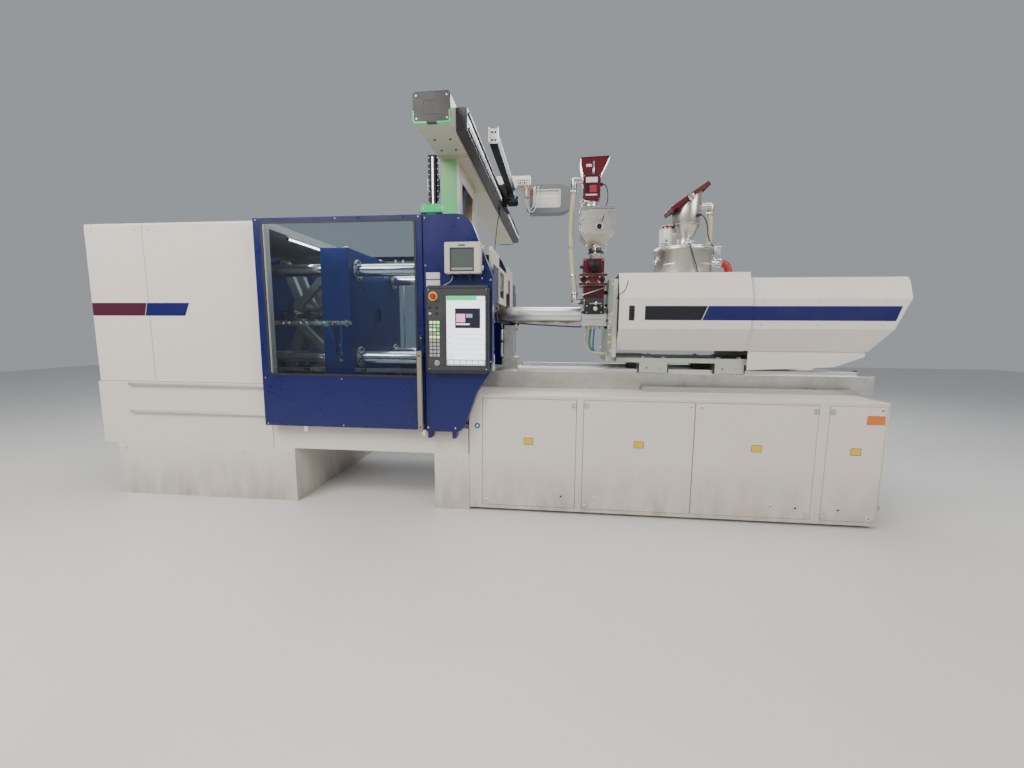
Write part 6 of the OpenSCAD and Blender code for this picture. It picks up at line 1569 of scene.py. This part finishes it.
# ------------------------------------------------------------------ clamp unit seen through the windows
def clamp_details():
    M["work_lamp"] = glow("work_lamp_tube", (0.92, 0.96, 1.0), 9.0, (0.9, 0.95, 1.0))
    tie = [(CY + sy * 385, 1465 + sz * 350) for sy in (-1, 1) for sz in (-1, 1)]
    # moving platen: tie bar bushings, mould slots, lifting holes, shoe screws
    p = Piece()
    for y, z in tie:
        for x, d in ((2020, 1), (1790, -1)):
            p.lathe((x, y, z), (d, 0, 0), [(0, 53.5), (0, 82), (9, 82), (12, 79), (12, 56), (9, 53.5)], "steel_z", 56, cap=False)
            for k in range(6):
                t = math.radians(60 * k + 30)
                p.lathe((x + d * 11, y + 68 * math.cos(t), z + 68 * math.sin(t)), (d, 0, 0), [(0, 7), (7, 7), (8, 6), (8, 4), (4, 3.6)], "black_paint", 16)
    for y in (400, 1120):
        for dx in (-300, -20):
            p.lathe((platen_x + dx, y - 60, 966), (0, 0, 1), [(0, 12), (8, 12), (9, 10)], "steel_z", 6)
            p.lathe((platen_x + dx, y + 60, 966), (0, 0, 1), [(0, 12), (8, 12), (9, 10)], "steel_z", 6)
        p.box(platen_x - 344, platen_x - 339, y - 74, y + 74, 836, 900, "black_paint")
    for y in (420, 1100):
        p.torus((platen_x - 115, y, 1984), (0, 1, 0), 24, 7, "steel_z", 32, 10)
        p.cyl((platen_x - 115, y, 1963), (platen_x - 115, y, 1972), 22, "steel_z", 24)
    for z in (1080, 1850):
        p.box(platen_x - 0.3, platen_x + 1.2, 300, 1220, z - 3, z + 3, "steel")
    # pin plates on the toggle ears
    for s in (-1, 1):
        for y0, d in ((CY - 166, -1), (CY + 166, 1)):
            p.lathe((platen_x - 320, y0, 1465 + s * 430), (0, d, 0), [(0, 34), (6, 34), (8, 30)], "steel_z", 40)
            for k in range(3):
                t = math.radians(120 * k + 90)
                p.lathe((platen_x - 320 + 22 * math.cos(t), y0 + d * 7, 1465 + s * 430 + 22 * math.sin(t)), (0, d, 0), [(0, 5), (4, 5), (5, 4)], "black_paint", 14)
            p.lathe((platen_x - 320, y0 + d * 8, 1465 + s * 430), (0, d, 0), [(0, 5), (6, 5), (7, 3)], "brass", 6)
    p.done("platen_fittings", "moving_platen", 0.0008, 1)
    # bright distributor with a row of couplings beside the moving platen
    p = Piece()
    p.box(1400, 2036, 196, 214, 1372, 1400, "alu")
    p.box(1400, 2036, 192, 197, 1398, 1404, "steel_z")
    for x in (1820, 1990):
        p.box(x - 12, x + 12, 212, 226, 1360, 1412, "steel_z")
    for i in range(13):
        x = 1424 + i * 49
        p.lathe((x, 196, 1386), (0, -1, 0), [(0, 12), (8, 12), (9, 9), (20, 9), (21, 7.5), (30, 7.5)], "chrome" if i % 3 else "brass", 6)
        p.lathe((x, 205, 1400), (0, 0, 1), [(0, 7), (9, 7), (10, 9), (15, 9)], "red" if i % 2 else "blue_plastic", 20)
    for z in (1090, 1150, 1210):
        p.lathe((1930, 225, z), (0, -1, 0), [(0, 15), (6, 15), (7, 10), (22, 10), (23, 8), (30, 8)], "brass", 6)
    p.done("distributor", "moving_platen", 0.0006, 1)
    for i, (m, z) in enumerate((("hose_blue", 1210), ("cable", 1150), ("hose_blue", 1090))):
        x = 1865 + i * 49
        turn = [math.radians(15 * q) for q in range(7)]
        side = [(184 - 50 * math.sin(t), 1386 - 50 * (1 - math.cos(t))) for t in turn]
        side += [(134, 1336 + (z + 50 - 1336) * q / 5) for q in range(1, 5)]
        side += [(134 + 50 * (1 - math.cos(t)), z + 50 - 50 * math.sin(t)) for t in turn]
        side = [(198, 1386)] + side + [(201, z)]
        pts = []
        for q, (yy, zz) in enumerate(side):
            t = q / (len(side) - 1)
            e = t * t * (3 - 2 * t)
            pts.append((x + (1930 - x) * e + (14 + 12 * i) * math.sin(math.pi * t) ** 2, yy, zz))
        cord("platen_hose_%d" % (i + 1), pts, 12, m, "moving_platen", relax=8)
    # lubrication blocks and pipes of the toggle, on the end platen
    p = Piece()
    for y, z in tie:
        p.lathe((1100, y, z), (1, 0, 0), [(0, 52), (0, 84), (10, 84), (12, 81), (12, 54)], "steel_z", 56, cap=False)
    for y in (300, 1220):
        p.box(1100, 1124, y - 40, y + 40, 1440, 1500, "alu")
        for k in range(5):
            p.lathe((1124, y - 30 + 15 * k, 1470), (1, 0, 0), [(0, 5), (8, 5), (9, 3.6), (13, 3.6)], "brass", 6)
            p.rod([(1137, y - 30 + 15 * k, 1470), (1150 + 3 * k, y - 30 + 15 * k, 1474), (1158 + 3 * k, y - 28 + 14 * k, 1540), (1152 + 3 * k, y - 20 + 10 * k, 1700), (1138, y - 10 + 6 * k, 1830), (1110, y - 5 + 4 * k, 1860), (1099, y - 5 + 4 * k, 1862)], 2.2, "brass", 8)
    for y in (-112, 112):
        for s in (-1, 1):
            d = -1 if y < 0 else 1
            p.lathe((1212, CY + y, 1465 + s * 430), (0, d, 0), [(0, 34), (6, 34), (8, 30)], "steel_z", 40)
    p.done("toggle_lubrication", ROOT, 0.0006, 1)
    # fixed platen: bushings, mould plate screws, couplings and the cable duct
    p = Piece()
    for y, z in tie:
        p.lathe((2660, y, z), (-1, 0, 0), [(0, 51), (0, 80), (10, 80), (12, 77), (12, 53)], "steel_z", 56, cap=False)
        for k in range(8):
            t = math.radians(45 * k + 22.5)
            p.lathe((2649, y + 66 * math.cos(t), z + 66 * math.sin(t)), (-1, 0, 0), [(0, 6.5), (7, 6.5), (8, 5.5), (8, 3.6), (4, 3.4)], "black_paint", 16)
    p.lathe((2660, 760, 1465), (-1, 0, 0), [(0, 81), (0, 96), (3, 96), (4, 94)], "steel", 72, cap=False)
    p.box(2690, 2860, 198, 221, 1120, 1760, "steel_z")
    for k in range(12):
        z = 1150 + 50 * k
        p.lathe((2730, 198, z), (0, -1, 0), [(0, 12), (7, 12), (8, 9), (18, 9), (19, 7.5), (27, 7.5)], "brass", 6)
        p.lathe((2800, 198, z), (0, -1, 0), [(0, 15), (3, 15), (4, 12), (14, 11)], "red" if k % 2 else "blue_plastic", 20)
    for z in (1210, 1700):
        p.lathe((2675, 221, z), (0, -1, 0), [(0, 9), (6, 9), (7, 8)], "steel_z", 6)
    for y in (560, 1200):
        p.torus((2800, y, 1990), (0, 1, 0), 24, 7, "steel_z", 32, 10)
        p.cyl((2800, y, 1968), (2800, y, 1977), 22, "steel_z", 24)
    p.done("fixed_platen_fittings", ROOT, 0.0008, 1)
    # tube lamps over the mould space, inside the mouth of the hood and over the far window
    p = Piece()
    p.box(1487, 1512, 260, 1260, 2052, 2070, "alu")
    p.cyl((1500, 280, 2047), (1500, 1240, 2047), 8, "work_lamp", 20)
    for y in (272, 1248):
        p.cyl((1500, y - 8, 2047), (1500, y + 8, 2047), 10, "black", 20)
    p.done("work_light", ROOT, 0.0005, 1)
    # middle posts of the far window
    p = Piece()
    for x in (1880, 1965):
        p.box(x - 9, x + 9, W + 54, W + 66, 1004, 2088, "white")
    p.done("rear_window_posts", "rear_door", 0.001, 1)
    # ejector plate screws and crosshead screws
    p = Piece()
    for y in (-120, 120):
        for z in (-120, 120):
            p.lathe((platen_x - 225, CY + y, 1465 + z), (-1, 0, 0), [(0, 10), (8, 10), (9, 8), (9, 5)], "black_paint", 18)
    p.done("ejector_screws", "ejector", 0.0004, 1)
    # cushion blocks and sensor bar under the tie bars
    p = Piece()
    p.box(1120, 2640, 250, 262, 1000, 1030, "alu")
    for x in (1180, 1620, 2100, 2560):
        p.box(x - 22, x + 22, 244, 252, 1004, 1026, "black")
        p.lathe((x, 244, 1015), (0, -1, 0), [(0, 6), (8, 6), (9, 4)], "brass", 6)
    p.done("sensor_bar", ROOT, 0.0006, 1)


platen_x = 2020
clamp_details()


# ------------------------------------------------------------------ loose cable of the robot, down to the nozzle hood
def overhead_cable():
    p = Piece()
    p.lathe((2960, 1950, 2704), (0, 0, -1), [(0, 16), (5, 16), (6, 13), (16, 13), (17, 10), (24, 9)], "black", 6)
    p.lathe((3060, 640, 1812), (0, 0, 1), [(0, 16), (5, 16), (6, 13), (16, 13), (17, 10), (24, 9)], "black", 6)
    p.done("overhead_cable_glands", ROOT, 0.0005, 1)
    pts = [(2960, 1950, 2692), (2960, 1949, 2664), (2961, 1940, 2638), (2963, 1915, 2612)]
    for q in range(1, 10):
        t = q / 10
        pts.append((2964 + 96 * t * t * (3 - 2 * t), 1940 - 1280 * t, 2640 - 745 * t - 360 * t * (1 - t)))
    pts += [(3060, 706, 1908), (3060, 668, 1890), (3060, 648, 1866), (3060, 641, 1846), (3060, 640, 1826)]
    cord("overhead_cable", pts, 12, "cable", ROOT, relax=14)


overhead_cable()


# ------------------------------------------------------------------ floor and light (not part of the machine)
def make_stage():
    m = Mat("pale_floor")
    t = m.noise(0.8, 4.0)
    m.to("Base Color", m.mix(t, (0.60, 0.595, 0.58), (0.66, 0.655, 0.64)))
    m.to("Roughness", m.ramp(m.noise(3.0, 5.0), [(0.3, 0.32), (0.8, 0.46)]))
    m.bump(m.noise(90.0, 3.0), 0.04, 0.001)
    me = bpy.data.meshes.new("stage_floor")
    me.from_pydata([(-16, -12, 0), (17, -12, 0), (17, 14, 0), (-16, 14, 0)], [], [(0, 1, 2, 3)])
    me.materials.append(m.m)
    floor = bpy.data.objects.new("stage_floor", me)
    bpy.context.scene.collection.objects.link(floor)

    def area(name, loc, target, sx, sy, power, color=(1, 1, 1)):
        d = bpy.data.lights.new(name, "AREA")
        d.shape = "RECTANGLE"
        d.size, d.size_y, d.energy, d.color = sx, sy, power, color
        o = bpy.data.objects.new(name, d)
        o.location = loc
        o.rotation_euler = (Vector(target) - Vector(loc)).to_track_quat("-Z", "Y").to_euler()
        bpy.context.scene.collection.objects.link(o)

    area("key_light", (-3.5, -5.2, 5.6), (0.0, 0.0, 1.0), 4.5, 3.0, 430, (1.0, 0.965, 0.91))
    area("fill_light", (5.6, -4.6, 4.6), (1.2, 0.0, 1.0), 3.5, 3.0, 210, (1.0, 0.95, 0.89))
    area("back_light", (1.5, 5.6, 5.2), (0.3, 0.4, 1.6), 6.0, 2.5, 330, (0.93, 0.96, 1.0))
    area("top_light", (0.2, 0.6, 6.4), (0.2, 0.5, 0.0), 7.0, 4.0, 240, (1.0, 0.98, 0.95))
    area("strip_left", (-3.0, -3.0, 3.9), (-3.0, -3.0, 0.0), 0.16, 2.2, 60, (1.0, 0.98, 0.94))
    area("strip_right", (0.4, -6.4, 3.7), (0.4, -6.4, 0.0), 0.16, 2.2, 60, (1.0, 0.98, 0.94))
    w = bpy.data.worlds.new("world")
    w.use_nodes = True
    bg = w.node_tree.nodes.get("Background")
    bg.inputs[0].default_value = (0.78, 0.82, 0.88, 1.0)
    bg.inputs[1].default_value = 0.42
    bpy.context.scene.world = w


make_stage()
